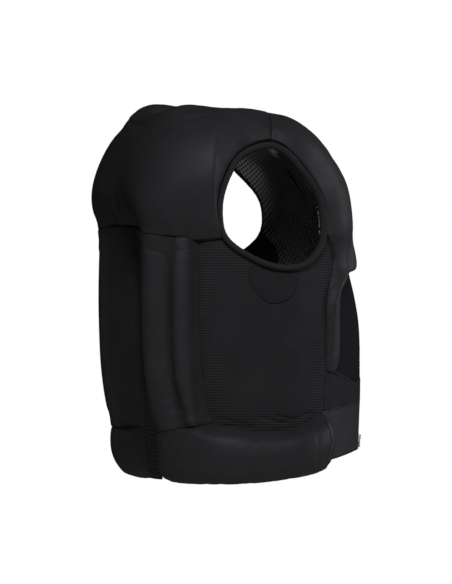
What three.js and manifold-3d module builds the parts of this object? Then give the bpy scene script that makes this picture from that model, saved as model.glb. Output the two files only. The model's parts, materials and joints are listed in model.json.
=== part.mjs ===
// Inflated airbag vest: soft cushions, knit panels and a zip sewn round one torso surface.
// Millimetres, +Z up. The wearer faces -Y and their right side is at -X.
// The origin is between the shoulders, at the height where the vest rests on its wearer.

import * as THREE from "three";
import { mergeVertices } from "three/addons/utils/BufferGeometryUtils.js";
import Module from "manifold-3d";

const wasm = await Module();
wasm.setup();

// Driving dimensions
const SEAM_GAP = 0.6; // clear space between two pieces sewn edge to edge
const SKIN_GAP = 0.4; // clear space between two pieces that lie on each other
const LINING_GAP = 1.6; // clear space between a cushion and its lining, measured at the sewn corners
const BINDING_GAP = 1.25; // clear space between the armhole binding and the panels, at their corners
const CENTRE_Y = -12; // depth at which every ring of the torso is widest
const SHELL = 2.4; // thickness of a plain fabric panel
const KNIT = 2; // thickness of the ribbed side panel
const PATCH = 1.2; // thickness of the underarm patch
const MESH = 2.4; // thickness of the spacer mesh
const BINDING_WIDTH = 7; // armhole binding, along the fabric
const BINDING_HEIGHT = 9; // armhole binding, through the fabric
const BINDING_SIDES = 6;
const BINDING_STEPS = 38;
const ZIP_HALF = 9; // from the middle of the zip to the sewn edge of the panels
const CHAIN_HALF = 2.6; // half width of the row of teeth
const CHAIN_HEIGHT = 3.2;
const TAPE = 1.4; // thickness of the zip tape
const ZIP_STEPS = 24;
const NECK_FRONT = -47; // height of the zip's upper end
const FRONT_HEM = -486;
const SLIDER_TOP = -466;
const SLIDER = { width: 9, height: 12, depth: 3, corner: 1.6 };
// The loop on the slider that holds the pull; its ends are sunk into the slider.
const BRIDGE = { width: 2.4, half: 3.6, gap: 2.8, thickness: 1.3, sunk: 0.5 };
const PULL = { width: 6.4, length: 17, depth: 1.6, bar: 1.6, slotWidth: 3.4, slotLength: 4.2, corner: 1.8 };
const DEGREE = Math.PI / 180;

// Colours of the photo's cloth and metal
const BLACK_SHELL = 0x1b1b1c;
const BLACK_KNIT = 0x202022;
const BLACK_MESH = 0x161617;
const BLACK_TRIM = 0x141415;
const SILVER = 0xb9bcc0;

// The inside of the vest: a row for each ring, from the neck down to the hem. A ring's height is given at
// the side, front and back, and its reach as the half width and the depth of its front and back. The box
// columns are 2 for a round half ring, more for a squarer one and less for a more pointed one.
const RINGS = [
  { zSide: 3, zFront: -48, zBack: -12, half: 68, front: -60, back: 98, boxBack: 2, boxFront: 2 },
  { zSide: -6, zFront: -66, zBack: -29, half: 102, front: -76, back: 116, boxBack: 2.3, boxFront: 2 },
  { zSide: -23, zFront: -92, zBack: -53, half: 133, front: -94, back: 130, boxBack: 2.8, boxFront: 1.9 },
  { zSide: -50, zFront: -120, zBack: -86, half: 152, front: -112, back: 138, boxBack: 3.3, boxFront: 1.8 },
  { zSide: -112, zFront: -154, zBack: -134, half: 164, front: -134, back: 141, boxBack: 3.6, boxFront: 1.7 },
  { zSide: -212, zFront: -214, zBack: -212, half: 170, front: -160, back: 142, boxBack: 3.7, boxFront: 1.6 },
  { zSide: -292, zFront: -292, zBack: -292, half: 172, front: -180, back: 141, boxBack: 3.7, boxFront: 1.55 },
  { zSide: -372, zFront: -372, zBack: -372, half: 171, front: -183, back: 138, boxBack: 3.6, boxFront: 1.55 },
  { zSide: -452, zFront: -452, zBack: -452, half: 168, front: -181, back: 132, boxBack: 3.4, boxFront: 1.55 },
  { zSide: -540, zFront: -540, zBack: -540, half: 164, front: -176, back: 122, boxBack: 3.2, boxFront: 1.6 },
];

// Armhole seen from the side: a row for each point, from the shoulder seam over the back and down.
const ARMHOLE = [
  { y: 6, z: -30 },
  { y: 50, z: -42 },
  { y: 80, z: -80 },
  { y: 92, z: -128 },
  { y: 86, z: -168 },
  { y: 40, z: -204 },
  { y: -12, z: -217 },
  { y: -55, z: -203 },
  { y: -82, z: -164 },
  { y: -78, z: -118 },
  { y: -42, z: -66 },
];
const ARMHOLE_YOKE = 4; // the row where the yoke's lower seam reaches the armhole
const ARMHOLE_FRONT = 8; // the row where the front seam starts

// Seams seen from the back, from the side or from the front
const YOKE_SEAM = [
  { x: 0, z: -156 },
  { x: 40, z: -154 },
  { x: 90, z: -162 },
  { x: 138, z: -172 },
];
const TUBE_SEAM = [
  { x: 138, z: -172 },
  { x: 141, z: -250 },
  { x: 141, z: -340 },
  { x: 143, z: -410 },
  { x: 147, z: -442 },
];
const GROOVE_EDGE = [
  { x: 8, z: -155.5 },
  { x: 9, z: -240 },
  { x: 10, z: -330 },
  { x: 15, z: -400 },
  { x: 23, z: -452 },
];
const GROOVE_LOWER = [
  { x: 23, z: -452 },
  { x: 27, z: -490 },
  { x: 26, z: -529 },
];
const WAIST_TOP_BACK = [
  { x: 23, z: -452 },
  { x: 60, z: -451 },
  { x: 100, z: -450 },
  { x: 147, z: -442 },
];
const WAIST_TOP_SIDE = [
  { y: 70, z: -448 },
  { y: 30, z: -455 },
  { y: -15, z: -452 },
  { y: -55, z: -438 },
  { y: -78, z: -427 },
];
const HEM_BACK = [
  { x: 26, z: -529 },
  { x: 60, z: -532 },
  { x: 100, z: -533 },
];
const HEM_SIDE = [
  { y: 70, z: -533 },
  { y: 30, z: -531 },
  { y: -15, z: -526 },
  { y: -55, z: -520 },
  { y: -84, z: -512 },
];
const ROLL_END = [
  { y: -78, z: -427 },
  { y: -82, z: -470 },
  { y: -84, z: -512 },
];
const FRONT_SEAM_UPPER = [
  { y: -82, z: -164 },
  { y: -98, z: -186 },
  { y: -102, z: -208 },
  { y: -92, z: -236 },
  { y: -84, z: -262 },
  { y: -83, z: -320 },
  { y: -82, z: -366 },
];
const FRONT_SEAM_LOWER = [
  { y: -82, z: -366 },
  { y: -79, z: -400 },
  { y: -78, z: -427 },
];
const ARCH_TOP = [
  { x: ZIP_HALF, z: -219 },
  { x: 50, z: -221 },
  { x: 92, z: -227 },
  { x: 117, z: -243 },
];
const ARCH_SIDE = [
  { x: 117, z: -243 },
  { x: 124, z: -272 },
  { x: 125, z: -310 },
  { x: 124, z: -345 },
  { x: 128, z: -370 },
];
const INSET_BOTTOM = [
  { x: 128, z: -370 },
  { x: 108, z: -379 },
  { x: 60, z: -383 },
  { x: ZIP_HALF, z: -384 },
];
const STRIP_END = [
  { y: -82, z: -366 },
  { y: -92, z: -369 },
];
const MID_SEAM = [
  { y: -78, z: -427 },
  { y: -105, z: -423 },
];
const MID_SEAM_FRONT = [
  { x: 70, z: -417 },
  { x: ZIP_HALF, z: -414 },
];
const FRONT_HEM_SIDE = [
  { y: -84, z: -500 },
  { y: -108, z: -496 },
];
const FRONT_HEM_FRONT = [
  { x: 70, z: -489 },
  { x: ZIP_HALF, z: FRONT_HEM },
];
// The underarm patch: its upper edge keeps a little below the armhole between two of the armhole's rows, and
// its lower edge is split at these shares into a back, a bottom and a front.
const PATCH_TOP = { fromRow: 5, toRow: 6.4 };
const PATCH_DROP = new THREE.Vector3(0, 4, 0);
const PATCH_SHARES = { back: 0.08, backCorner: 0.35, frontCorner: 0.7, front: 0.92, upper: 0.3 };
const PATCH_EDGE = [
  { y: 50, z: -203 },
  { y: 42, z: -238 },
  { y: 16, z: -262 },
  { y: -14, z: -254 },
  { y: -30, z: -219 },
];

// Thickness of each cushion: a row for each height from the top edge (at 0) to the bottom edge (at 1),
// a column for each place across. The places are given as shares of the width in the ACROSS tables.
const YOKE_SEAM_SHARE = 0.45; // share of half the yoke's outer edge that is sewn to the back cushion
const YOKE_END_SHARE = 0.55; // the share where the armhole starts
const YOKE_ACROSS = {
  middle: 0, inner: 0.17, crest: 0.307, valley: 0.385, seam: YOKE_SEAM_SHARE,
  corner: YOKE_END_SHARE, arm: 0.78, shoulder: 1,
};
const YOKE_PUFF = [
  { at: 0, middle: 18, inner: 18, crest: 19, valley: 19, seam: 18, corner: 18, arm: 17, shoulder: 14 },
  { at: 0.1, middle: 45, inner: 45, crest: 46, valley: 44, seam: 40, corner: 34, arm: 27, shoulder: 18 },
  { at: 0.25, middle: 60, inner: 61, crest: 64, valley: 59, seam: 52, corner: 45, arm: 32, shoulder: 20 },
  { at: 0.45, middle: 61, inner: 61, crest: 60, valley: 58, seam: 54, corner: 48, arm: 34, shoulder: 20 },
  { at: 0.72, middle: 61, inner: 65, crest: 69, valley: 64, seam: 55, corner: 45, arm: 31, shoulder: 19 },
  { at: 0.9, middle: 55, inner: 64, crest: 73, valley: 60, seam: 41, corner: 28, arm: 20, shoulder: 17 },
  { at: 1, middle: 35, inner: 47, crest: 62, valley: 39, seam: 12, corner: 8, arm: 10, shoulder: 14 },
];
const TUBE_ACROSS = { groove: 0, inner: 0.3, crest: 0.54, outer: 0.69, valley: 0.8, ridge: 0.91, seam: 1 };
const TUBE_PUFF = [
  { at: 0, groove: 5, inner: 44, crest: 62, outer: 55, valley: 38, ridge: 31, seam: 6 },
  { at: 0.1, groove: 5, inner: 43, crest: 61, outer: 57, valley: 31, ridge: 40, seam: 6 },
  { at: 0.6, groove: 5, inner: 43, crest: 61, outer: 58, valley: 30, ridge: 42, seam: 6 },
  { at: 0.85, groove: 5, inner: 40, crest: 56, outer: 53, valley: 29, ridge: 38, seam: 6 },
  { at: 1, groove: 5, inner: 34, crest: 48, outer: 45, valley: 32, ridge: 27, seam: 6 },
];
const ROLL_BACK = 0.37; // share of the waist roll's length that lies below the back cushion
const ROLL_ACROSS = {
  groove: 0, inner: 0.126, crest: 0.222, valley: 0.31, hip: ROLL_BACK,
  side: 0.62, front: 0.88, end: 0.97, tip: 1,
};
const ROLL_PUFF = [
  { at: 0, groove: 5, inner: 35, crest: 47, valley: 33, hip: 7, side: 4, front: 4, end: 4, tip: 3 },
  { at: 0.1, groove: 5, inner: 37, crest: 49, valley: 40, hip: 31, side: 28, front: 27, end: 18, tip: 4 },
  { at: 0.45, groove: 5, inner: 39, crest: 51, valley: 46, hip: 43, side: 41, front: 37, end: 27, tip: 6 },
  { at: 0.8, groove: 5, inner: 32, crest: 39, valley: 35, hip: 32, side: 29, front: 26, end: 20, tip: 5 },
  { at: 0.95, groove: 4, inner: 17, crest: 20, valley: 18, hip: 16, side: 14, front: 13, end: 10, tip: 4 },
  { at: 1, groove: 3, inner: 7, crest: 8, valley: 8, hip: 7, side: 6, front: 6, end: 5, tip: 3 },
];
const CHEST_ACROSS = { outer: 0, slope: 0.14, crown: 0.46, inside: 0.84, edge: 1 };
const CHEST_PUFF = [
  { at: 0, outer: 14, slope: 19, crown: 20, inside: 18, edge: 14 },
  { at: 0.1, outer: 10, slope: 19, crown: 23, inside: 20, edge: 11 },
  { at: 0.28, outer: 9, slope: 27, crown: 41, inside: 37, edge: 14 },
  { at: 0.39, outer: 8, slope: 24, crown: 35, inside: 25, edge: 8 },
  { at: 0.46, outer: 8, slope: 21, crown: 26, inside: 8, edge: 3 },
  { at: 0.57, outer: 7, slope: 18, crown: 21, inside: 9, edge: 4 },
  { at: 0.66, outer: 6, slope: 16, crown: 19, inside: 13, edge: 5 },
  { at: 0.78, outer: 5, slope: 12, crown: 15, inside: 12, edge: 4 },
  { at: 0.94, outer: 4, slope: 9, crown: 10, inside: 9, edge: 4 },
  { at: 1, outer: 3, slope: 4, crown: 5, inside: 4, edge: 3 },
];

// One column of the ring table as a smooth curve over the ring number.
function ringColumn(column) {
  const points = RINGS.map((row, number) => new THREE.Vector2(number, row[column]));
  const curve = new THREE.SplineCurve(points);
  return (ring) => curve.getPoint(THREE.MathUtils.clamp(ring / (RINGS.length - 1), 0, 1)).y;
}

const ringAt = {};
for (const column of Object.keys(RINGS[0])) {
  ringAt[column] = ringColumn(column);
}

// A point on the inside of the vest. The turn runs from the middle of the back (0) over the wearer's right
// side (a quarter turn) to the zip (half a turn), and backwards over the left side.
function torso(turn, ring) {
  const sideways = Math.sin(turn);
  const backwards = Math.cos(turn);
  const behind = backwards > 0;
  const reach = behind ? ringAt.back(ring) - CENTRE_Y : CENTRE_Y - ringAt.front(ring);
  const square = behind ? ringAt.boxBack(ring) : ringAt.boxFront(ring);
  const wide = Math.abs(sideways / ringAt.half(ring)) ** square;
  const deep = Math.abs(backwards / reach) ** square;
  const radius = (wide + deep) ** (-1 / square);
  const zEnd = behind ? ringAt.zBack(ring) : ringAt.zFront(ring);
  const z = THREE.MathUtils.lerp(ringAt.zSide(ring), zEnd, backwards * backwards);
  return new THREE.Vector3(-sideways * radius, CENTRE_Y + backwards * radius, z);
}

// The direction straight out of the vest at a point of the torso surface.
function outward(turn, ring) {
  const step = 0.02;
  const round = torso(turn + step, ring).sub(torso(turn - step, ring));
  const low = Math.max(ring - step, 0);
  const high = Math.min(ring + step, RINGS.length - 1);
  const down = torso(turn, high).sub(torso(turn, low));
  return round.cross(down).normalize().negate();
}

// Flat map of the torso surface: across is the turn and along is the ring, both scaled to about
// a millimetre.
const MAP_TURN = 160;
const MAP_RING = 62;

// The place on the flat map whose torso point has the given height and the given y, or distance from the
// middle where the row gives x. Newton steps start from the middle of that side of the vest.
function locate(row, face) {
  const place = { side: [90, 5], back: [35, 6], front: [145, 6] }[face];
  let turn = place[0] * DEGREE;
  let ring = place[1];
  const miss = (t, r) => {
    const point = torso(t, r);
    const across = face === "side" ? point.y - row.y : -point.x - row.x;
    return [across, point.z - row.z];
  };
  const nudge = 1e-4;
  for (let step = 0; step < 40; step += 1) {
    const here = miss(turn, ring);
    const byTurn = miss(turn + nudge, ring);
    const byRing = miss(turn, ring + nudge);
    const a = (byTurn[0] - here[0]) / nudge;
    const b = (byRing[0] - here[0]) / nudge;
    const c = (byTurn[1] - here[1]) / nudge;
    const d = (byRing[1] - here[1]) / nudge;
    const det = a * d - b * c;
    turn -= THREE.MathUtils.clamp((d * here[0] - b * here[1]) / det, -0.2, 0.2);
    ring -= THREE.MathUtils.clamp((a * here[1] - c * here[0]) / det, -0.5, 0.5);
    ring = THREE.MathUtils.clamp(ring, 0, RINGS.length - 1 - 2 * nudge);
  }
  return new THREE.Vector3(turn * MAP_TURN, ring * MAP_RING, 0);
}

// A seam as a smooth curve on the flat map, from [face, rows] pairs, walked evenly from 0 to 1.
function seam(...pieces) {
  const points = pieces.flatMap(([face, rows]) => rows.map((row) => locate(row, face)));
  const curve = new THREE.CatmullRomCurve3(points, false, "centripetal");
  return (share) => curve.getPointAt(THREE.MathUtils.clamp(share, 0, 1));
}

// A level line on the flat map between two turns, in degrees.
function level(ring, fromTurn, toTurn) {
  return (share) => {
    const turn = THREE.MathUtils.lerp(fromTurn, toTurn, share) * DEGREE;
    return new THREE.Vector3(turn * MAP_TURN, ring * MAP_RING, 0);
  };
}

const armholePoints = ARMHOLE.map((row) => locate(row, "side"));
const armholeLoop = new THREE.CatmullRomCurve3(armholePoints, true, "centripetal");

// The stretch of the armhole between two of its rows. A row past the last one goes round again.
function armhole(fromRow, toRow) {
  return (share) => {
    const row = THREE.MathUtils.lerp(fromRow, toRow, share) + ARMHOLE.length;
    return armholeLoop.getPoint((row / ARMHOLE.length) % 1);
  };
}

const reversed = (curve) => (share) => curve(1 - share);
const straight = (from, to) => (share) => from.clone().lerp(to, share);
const mirrored = (curve) => (share) => curve(share).multiply(new THREE.Vector3(-1, 1, 1));

// Curves end to end, each with the share at which it ends.
function chain(...links) {
  return (share) => {
    let start = 0;
    for (const [curve, end] of links) {
      if (share <= end || end === 1) {
        return curve((share - start) / (end - start));
      }
      start = end;
    }
    return null;
  };
}

// A four sided patch on the flat map, blended from its edges. Across runs from left to right and down from
// top to bottom.
function patch(top, bottom, left, right) {
  return (across, down) => {
    const point = top(across).multiplyScalar(1 - down);
    point.addScaledVector(bottom(across), down);
    point.addScaledVector(left(down), 1 - across);
    point.addScaledVector(right(down), across);
    point.addScaledVector(top(0), -(1 - across) * (1 - down));
    point.addScaledVector(top(1), -across * (1 - down));
    point.addScaledVector(bottom(0), -(1 - across) * down);
    point.addScaledVector(bottom(1), -across * down);
    return point;
  };
}

// A smooth reading of a thickness table: places across from its column shares, rows from their heights.
function puff(rows, columns) {
  const names = Object.keys(columns);
  const heights = rows.map((row) => row.at);
  const spread = (positions, values, wanted) => {
    let span = 0;
    while (span < positions.length - 2 && wanted > positions[span + 1]) {
      span += 1;
    }
    const share = (wanted - positions[span]) / (positions[span + 1] - positions[span]);
    const slope = (index) => {
      const before = Math.max(index - 1, 0);
      const after = Math.min(index + 1, positions.length - 1);
      return (values[after] - values[before]) / (positions[after] - positions[before]);
    };
    const length = positions[span + 1] - positions[span];
    const cubed = share ** 3;
    const squared = share ** 2;
    return values[span] * (2 * cubed - 3 * squared + 1)
      + slope(span) * length * (cubed - 2 * squared + share)
      + values[span + 1] * (3 * squared - 2 * cubed)
      + slope(span + 1) * length * (cubed - squared);
  };
  const places = names.map((name) => columns[name]);
  return (across, down) => {
    const readings = rows.map((row) => spread(places, names.map((name) => row[name]), across));
    return Math.max(spread(heights, readings, down), SHELL);
  };
}

// Even shares from 0 to 1, and shares that split each gap of a list of places into equal steps.
const evenly = (steps) => Array.from({ length: steps + 1 }, (_, index) => index / steps);
function between(places, steps) {
  const shares = [];
  places.forEach((place, index) => {
    const next = places[index + 1];
    const count = next === undefined ? 1 : steps[index];
    for (let step = 0; step < count; step += 1) {
      shares.push(next === undefined ? place : THREE.MathUtils.lerp(place, next, step / count));
    }
  });
  return shares;
}

const LARGEST_INSET = 0.2; // share of a narrow patch's width that its seam gap may take on each edge

// A closed solid over a patch, between an inner and an outer distance from the torso surface. Half a seam
// gap is kept free on every edge. The left side of the vest is the mirror image of the right.
function panel({ on, across, down, inner, outer, colour, roughness, left = false }) {
  const columns = across.length;
  const rows = down.length;
  const surface = (s, t) => {
    const place = on(s, t);
    return torso(place.x / MAP_TURN, place.y / MAP_RING);
  };
  const drawnIn = (share, from, to) => {
    const inset = Math.min(SEAM_GAP / 2 / Math.max(from.distanceTo(to), SEAM_GAP), LARGEST_INSET);
    return THREE.MathUtils.lerp(inset, 1 - inset, share);
  };
  const positions = [];
  const point = (s, t, lift) => {
    const inAcross = drawnIn(s, surface(0, t), surface(1, t));
    const inDown = drawnIn(t, surface(s, 0), surface(s, 1));
    const place = on(inAcross, inDown);
    const turn = place.x / MAP_TURN;
    const ring = place.y / MAP_RING;
    const spot = torso(turn, ring).addScaledVector(outward(turn, ring), lift(s, t));
    positions.push(left ? -spot.x : spot.x, spot.y, spot.z);
  };
  for (const lift of [inner, outer]) {
    for (const t of down) {
      for (const s of across) {
        point(s, t, lift);
      }
    }
  }
  const layer = columns * rows;
  const index = [];
  const quad = (a, b, c, d) => index.push(a, b, c, a, c, d);
  for (let row = 0; row < rows - 1; row += 1) {
    for (let column = 0; column < columns - 1; column += 1) {
      const corner = row * columns + column;
      quad(corner, corner + 1, corner + columns + 1, corner + columns);
      quad(layer + corner, layer + corner + columns, layer + corner + columns + 1, layer + corner + 1);
    }
  }
  for (let column = 0; column < columns - 1; column += 1) {
    const last = (rows - 1) * columns + column;
    quad(column + 1, column, layer + column, layer + column + 1);
    quad(last, last + 1, layer + last + 1, layer + last);
  }
  for (let row = 0; row < rows - 1; row += 1) {
    const first = row * columns;
    const last = first + columns - 1;
    quad(first, first + columns, layer + first + columns, layer + first);
    quad(last + columns, last, layer + last, layer + last + columns);
  }
  return solid(positions, index, colour, roughness, 0);
}

// A mesh of one closed solid, with its faces turned outwards.
function solid(positions, index, colour, roughness, metalness) {
  const corner = (number) => new THREE.Vector3().fromArray(positions, 3 * number);
  let volume = 0;
  for (let face = 0; face < index.length; face += 3) {
    const [a, b, c] = [0, 1, 2].map((step) => corner(index[face + step]));
    volume += a.dot(b.cross(c));
  }
  const turned = volume < 0 ? [...index].reverse() : index;
  const geometry = new THREE.BufferGeometry();
  geometry.setAttribute("position", new THREE.Float32BufferAttribute(positions, 3));
  geometry.setIndex(turned);
  geometry.computeVertexNormals();
  return new THREE.Mesh(geometry, new THREE.MeshStandardMaterial({ color: colour, roughness, metalness }));
}

// Edges shared by the pieces, on the flat map
const SHOULDER_TURN = 89; // degrees, where the shoulder seam leaves the neck
const neckBack = level(0, SHOULDER_TURN, -SHOULDER_TURN);
const shoulderSeam = straight(level(0, SHOULDER_TURN, SHOULDER_TURN)(0), armhole(0, 1)(0));
const neckZip = locate({ x: ZIP_HALF, z: NECK_FRONT }, "front");
const neckFront = level(0, SHOULDER_TURN, neckZip.x / MAP_TURN / DEGREE);
const yokeHalf = seam(["back", YOKE_SEAM]);
const yokeEnd = straight(yokeHalf(1), armhole(ARMHOLE_YOKE, ARMHOLE_YOKE + 1)(0));
const yokeRight = chain(
  [armhole(0, ARMHOLE_YOKE), 1 - YOKE_END_SHARE], [reversed(yokeEnd), 1 - YOKE_SEAM_SHARE],
  [reversed(yokeHalf), 1],
);
const yokeEdge = chain([yokeRight, 0.5], [reversed(mirrored(yokeRight)), 1]);
const grooveEdge = seam(["back", GROOVE_EDGE]);
const grooveLower = seam(["back", GROOVE_LOWER]);
const tubeSeam = seam(["back", TUBE_SEAM]);
const waistBack = seam(["back", WAIST_TOP_BACK]);
const waistSide = seam(["back", [WAIST_TOP_BACK.at(-1)]], ["side", WAIST_TOP_SIDE]);
const hem = seam(["back", HEM_BACK], ["side", HEM_SIDE]);
const rollEnd = seam(["side", ROLL_END]);
const frontSeamUpper = seam(["side", FRONT_SEAM_UPPER]);
const frontSeamLower = seam(["side", FRONT_SEAM_LOWER]);
const archTop = seam(["front", ARCH_TOP]);
const archSide = seam(["front", ARCH_SIDE]);
const insetBottom = seam(["front", INSET_BOTTOM]);
const stripEnd = seam(["side", STRIP_END], ["front", [ARCH_SIDE.at(-1)]]);
const midSeam = seam(["side", MID_SEAM], ["front", MID_SEAM_FRONT]);
const frontHem = seam(["side", FRONT_HEM_SIDE], ["front", FRONT_HEM_FRONT]);
const lowerSide = seam(["side", [ROLL_END[0], ROLL_END[1], FRONT_HEM_SIDE[0]]]);

// An upright line beside the zip, at a distance from its middle.
function zipLine(x, top, bottom) {
  return (share) => locate({ x, z: THREE.MathUtils.lerp(top, bottom, share) }, "front");
}

const zipEdge = (top, bottom) => zipLine(ZIP_HALF, top, bottom);

// The chest cushion's rows below the armhole are the front seam's stations. The notch at the zip and the
// corner of the arch lie on two of them, so that neighbouring panels meet at the same points.
const ARM_SHARE = 0.42; // share of the chest cushion's outer edge that goes round the armhole
const STATIONS = 12;
const station = (number) => THREE.MathUtils.lerp(ARM_SHARE, 1, number / STATIONS);
const NOTCH_STATION = 3;
const CORNER_STATION = 6;
const NOTCH_SHARE = station(NOTCH_STATION);
const ARCH_SHARE = station(CORNER_STATION);

const vest = new THREE.Group();

function addPanel(options) {
  const piece = panel(options);
  piece.name = options.name;
  vest.add(piece);
}

// Adds a right and a left copy of a panel.
function addPair(options) {
  addPanel({ ...options, name: `${options.name}_right` });
  addPanel({ ...options, name: `${options.name}_left`, left: true });
}

const flat = (distance) => () => distance;
const shell = { colour: BLACK_SHELL, roughness: 0.85 };
const net = { colour: BLACK_MESH, roughness: 0.9 };

// Back yoke and its lining. The thickness is the same on both sides of the middle.
const yokePatch = patch(neckBack, yokeEdge, shoulderSeam, mirrored(shoulderSeam));
const yokeThickness = puff(YOKE_PUFF, YOKE_ACROSS);
const yokeHalfColumns = between(Object.values(YOKE_ACROSS), [2, 2, 2, 1, 1, 4, 4]);
const yokeColumns = [
  ...yokeHalfColumns.map((place) => 0.5 - place / 2).reverse(),
  ...yokeHalfColumns.slice(1).map((place) => 0.5 + place / 2),
];
addPanel({
  name: "back_yoke", on: yokePatch, ...shell, inner: flat(0),
  across: yokeColumns,
  down: between(YOKE_PUFF.map((row) => row.at), [1, 2, 2, 2, 2, 2]),
  outer: (s, t) => yokeThickness(Math.abs(2 * s - 1), t),
});
addPanel({
  name: "yoke_lining", on: yokePatch, ...net, across: yokeColumns, down: evenly(5),
  inner: flat(-LINING_GAP - MESH), outer: flat(-LINING_GAP),
});

// The stretch of the yoke seam over one back cushion.
function yokeTop(share) {
  const start = GROOVE_EDGE[0].x / YOKE_SEAM.at(-1).x;
  return yokeHalf(THREE.MathUtils.lerp(start, 1, share));
}

// Back cushions beside the spine and the net strip between them
addPair({
  name: "back_tube", on: patch(yokeTop, waistBack, grooveEdge, tubeSeam), ...shell,
  across: between(Object.values(TUBE_ACROSS), [2, 2, 1, 1, 1, 1]),
  down: between(TUBE_PUFF.map((row) => row.at), [3, 5, 3, 2]),
  inner: flat(0), outer: puff(TUBE_PUFF, TUBE_ACROSS),
});

const GROOVE_SHARE = 0.8; // share of the net strip that lies between the back cushions
const grooveWhole = chain([grooveEdge, GROOVE_SHARE], [grooveLower, 1]);
addPanel({
  name: "spine_mesh", ...net, across: evenly(2), down: evenly(14), inner: flat(0), outer: flat(MESH),
  on: patch(
    straight(grooveWhole(0), mirrored(grooveWhole)(0)), straight(grooveWhole(1), mirrored(grooveWhole)(1)),
    grooveWhole, mirrored(grooveWhole),
  ),
});

// Waist rolls
addPair({
  name: "waist_roll", ...shell,
  on: patch(chain([waistBack, ROLL_BACK], [waistSide, 1]), hem, grooveLower, rollEnd),
  across: between(Object.values(ROLL_ACROSS), [2, 2, 2, 1, 4, 4, 2, 1]),
  down: between(ROLL_PUFF.map((row) => row.at), [1, 2, 2, 2, 1]),
  inner: flat(0), outer: puff(ROLL_PUFF, ROLL_ACROSS),
});

// Side panels with their underarm patches
const SIDE_CORNER = 0.2; // share of the side panel's upper edge that is sewn to the yoke
const sideTop = chain([yokeEnd, SIDE_CORNER], [armhole(ARMHOLE_YOKE, ARMHOLE_FRONT), 1]);
const SEAM_SHARE = 0.78; // share of the side panel's front edge that is sewn to the chest cushion
const sideFront = chain([frontSeamUpper, SEAM_SHARE], [frontSeamLower, 1]);
addPair({
  name: "side_panel", colour: BLACK_KNIT, roughness: 0.8,
  on: patch(sideTop, waistSide, tubeSeam, sideFront), across: between([0, SIDE_CORNER, 1], [2, 8]),
  down: between([0, SEAM_SHARE, 1], [STATIONS, 3]),
  inner: flat(0), outer: flat(KNIT),
});
const patchEdge = seam(["side", PATCH_EDGE]);
const patchTop = (share) => armhole(PATCH_TOP.fromRow, PATCH_TOP.toRow)(share).add(PATCH_DROP);
const patchRun = (from, to) => (share) => patchEdge(THREE.MathUtils.lerp(from, to, share));
const { back, backCorner, frontCorner, front, upper } = PATCH_SHARES;
addPair({
  name: "underarm_patch", ...shell, across: evenly(6), down: evenly(4),
  on: patch(
    patchTop, patchRun(backCorner, frontCorner),
    chain([straight(patchTop(0), patchEdge(back)), upper], [patchRun(back, backCorner), 1]),
    chain([straight(patchTop(1), patchEdge(front)), upper], [patchRun(front, frontCorner), 1]),
  ),
  inner: flat(KNIT + SKIN_GAP), outer: flat(KNIT + SKIN_GAP + PATCH),
});

// Chest cushions with their linings, and the flat panels below them
const CHEST_SWELL = 16; // how far the chest cushion swells into the vest
const LINED_SHARE = 0.68; // how far down the chest cushion the lining reaches
const NECK_SHARE = 0.22; // share of the chest cushion's inner edge that goes round the neck
const chestOuter = chain([armhole(ARMHOLE.length, ARMHOLE_FRONT), ARM_SHARE], [frontSeamUpper, 1]);
const chestInner = chain(
  [neckFront, NECK_SHARE], [zipEdge(NECK_FRONT, ARCH_TOP[0].z), NOTCH_SHARE],
  [archTop, ARCH_SHARE], [archSide, 1],
);
const chestPatch = patch(reversed(shoulderSeam), stripEnd, chestOuter, chestInner);
const chestRows = [
  ...evenly(8).map((share) => share * ARM_SHARE),
  ...evenly(STATIONS).slice(1).map((share) => station(share * STATIONS)),
];
const chestColumns = between(Object.values(CHEST_ACROSS), [1, 3, 3, 2]);

// The upper part of a chest cushion also swells inwards, and its lining with it.
function swell(s, t) {
  const share = Math.min(t / LINED_SHARE, 1);
  return CHEST_SWELL * Math.sin(Math.PI * s) * Math.sin(Math.PI * share);
}
addPair({
  name: "front_panel", on: chestPatch, ...shell, across: chestColumns, down: chestRows,
  inner: (s, t) => -swell(s, t), outer: puff(CHEST_PUFF, CHEST_ACROSS),
});
addPair({
  name: "front_lining", on: chestPatch, ...net, across: chestColumns,
  down: chestRows.filter((t) => t <= LINED_SHARE),
  inner: (s, t) => -swell(s, t) - LINING_GAP - MESH, outer: (s, t) => -swell(s, t) - LINING_GAP,
});
addPair({
  name: "front_inset", ...shell,
  across: evenly(CORNER_STATION - NOTCH_STATION), down: evenly(STATIONS - CORNER_STATION),
  on: patch(reversed(archTop), insetBottom, archSide, zipEdge(ARCH_TOP[0].z, INSET_BOTTOM.at(-1).z)),
  inner: flat(0), outer: flat(SHELL),
});
const STRIP_SHARE = 0.2; // share of the middle panel's upper edge that is sewn to the chest cushion
const midTop = chain([stripEnd, STRIP_SHARE], [insetBottom, 1]);
addPair({
  name: "front_mid", ...shell, across: evenly(10), down: evenly(2),
  on: patch(midTop, midSeam, frontSeamLower, zipEdge(INSET_BOTTOM.at(-1).z, MID_SEAM_FRONT.at(-1).z)),
  inner: flat(0), outer: flat(SHELL),
});
addPair({
  name: "front_lower", ...shell, across: evenly(8), down: evenly(3),
  on: patch(midSeam, frontHem, lowerSide, zipEdge(MID_SEAM_FRONT.at(-1).z, FRONT_HEM)),
  inner: flat(0), outer: flat(SHELL),
});

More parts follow.
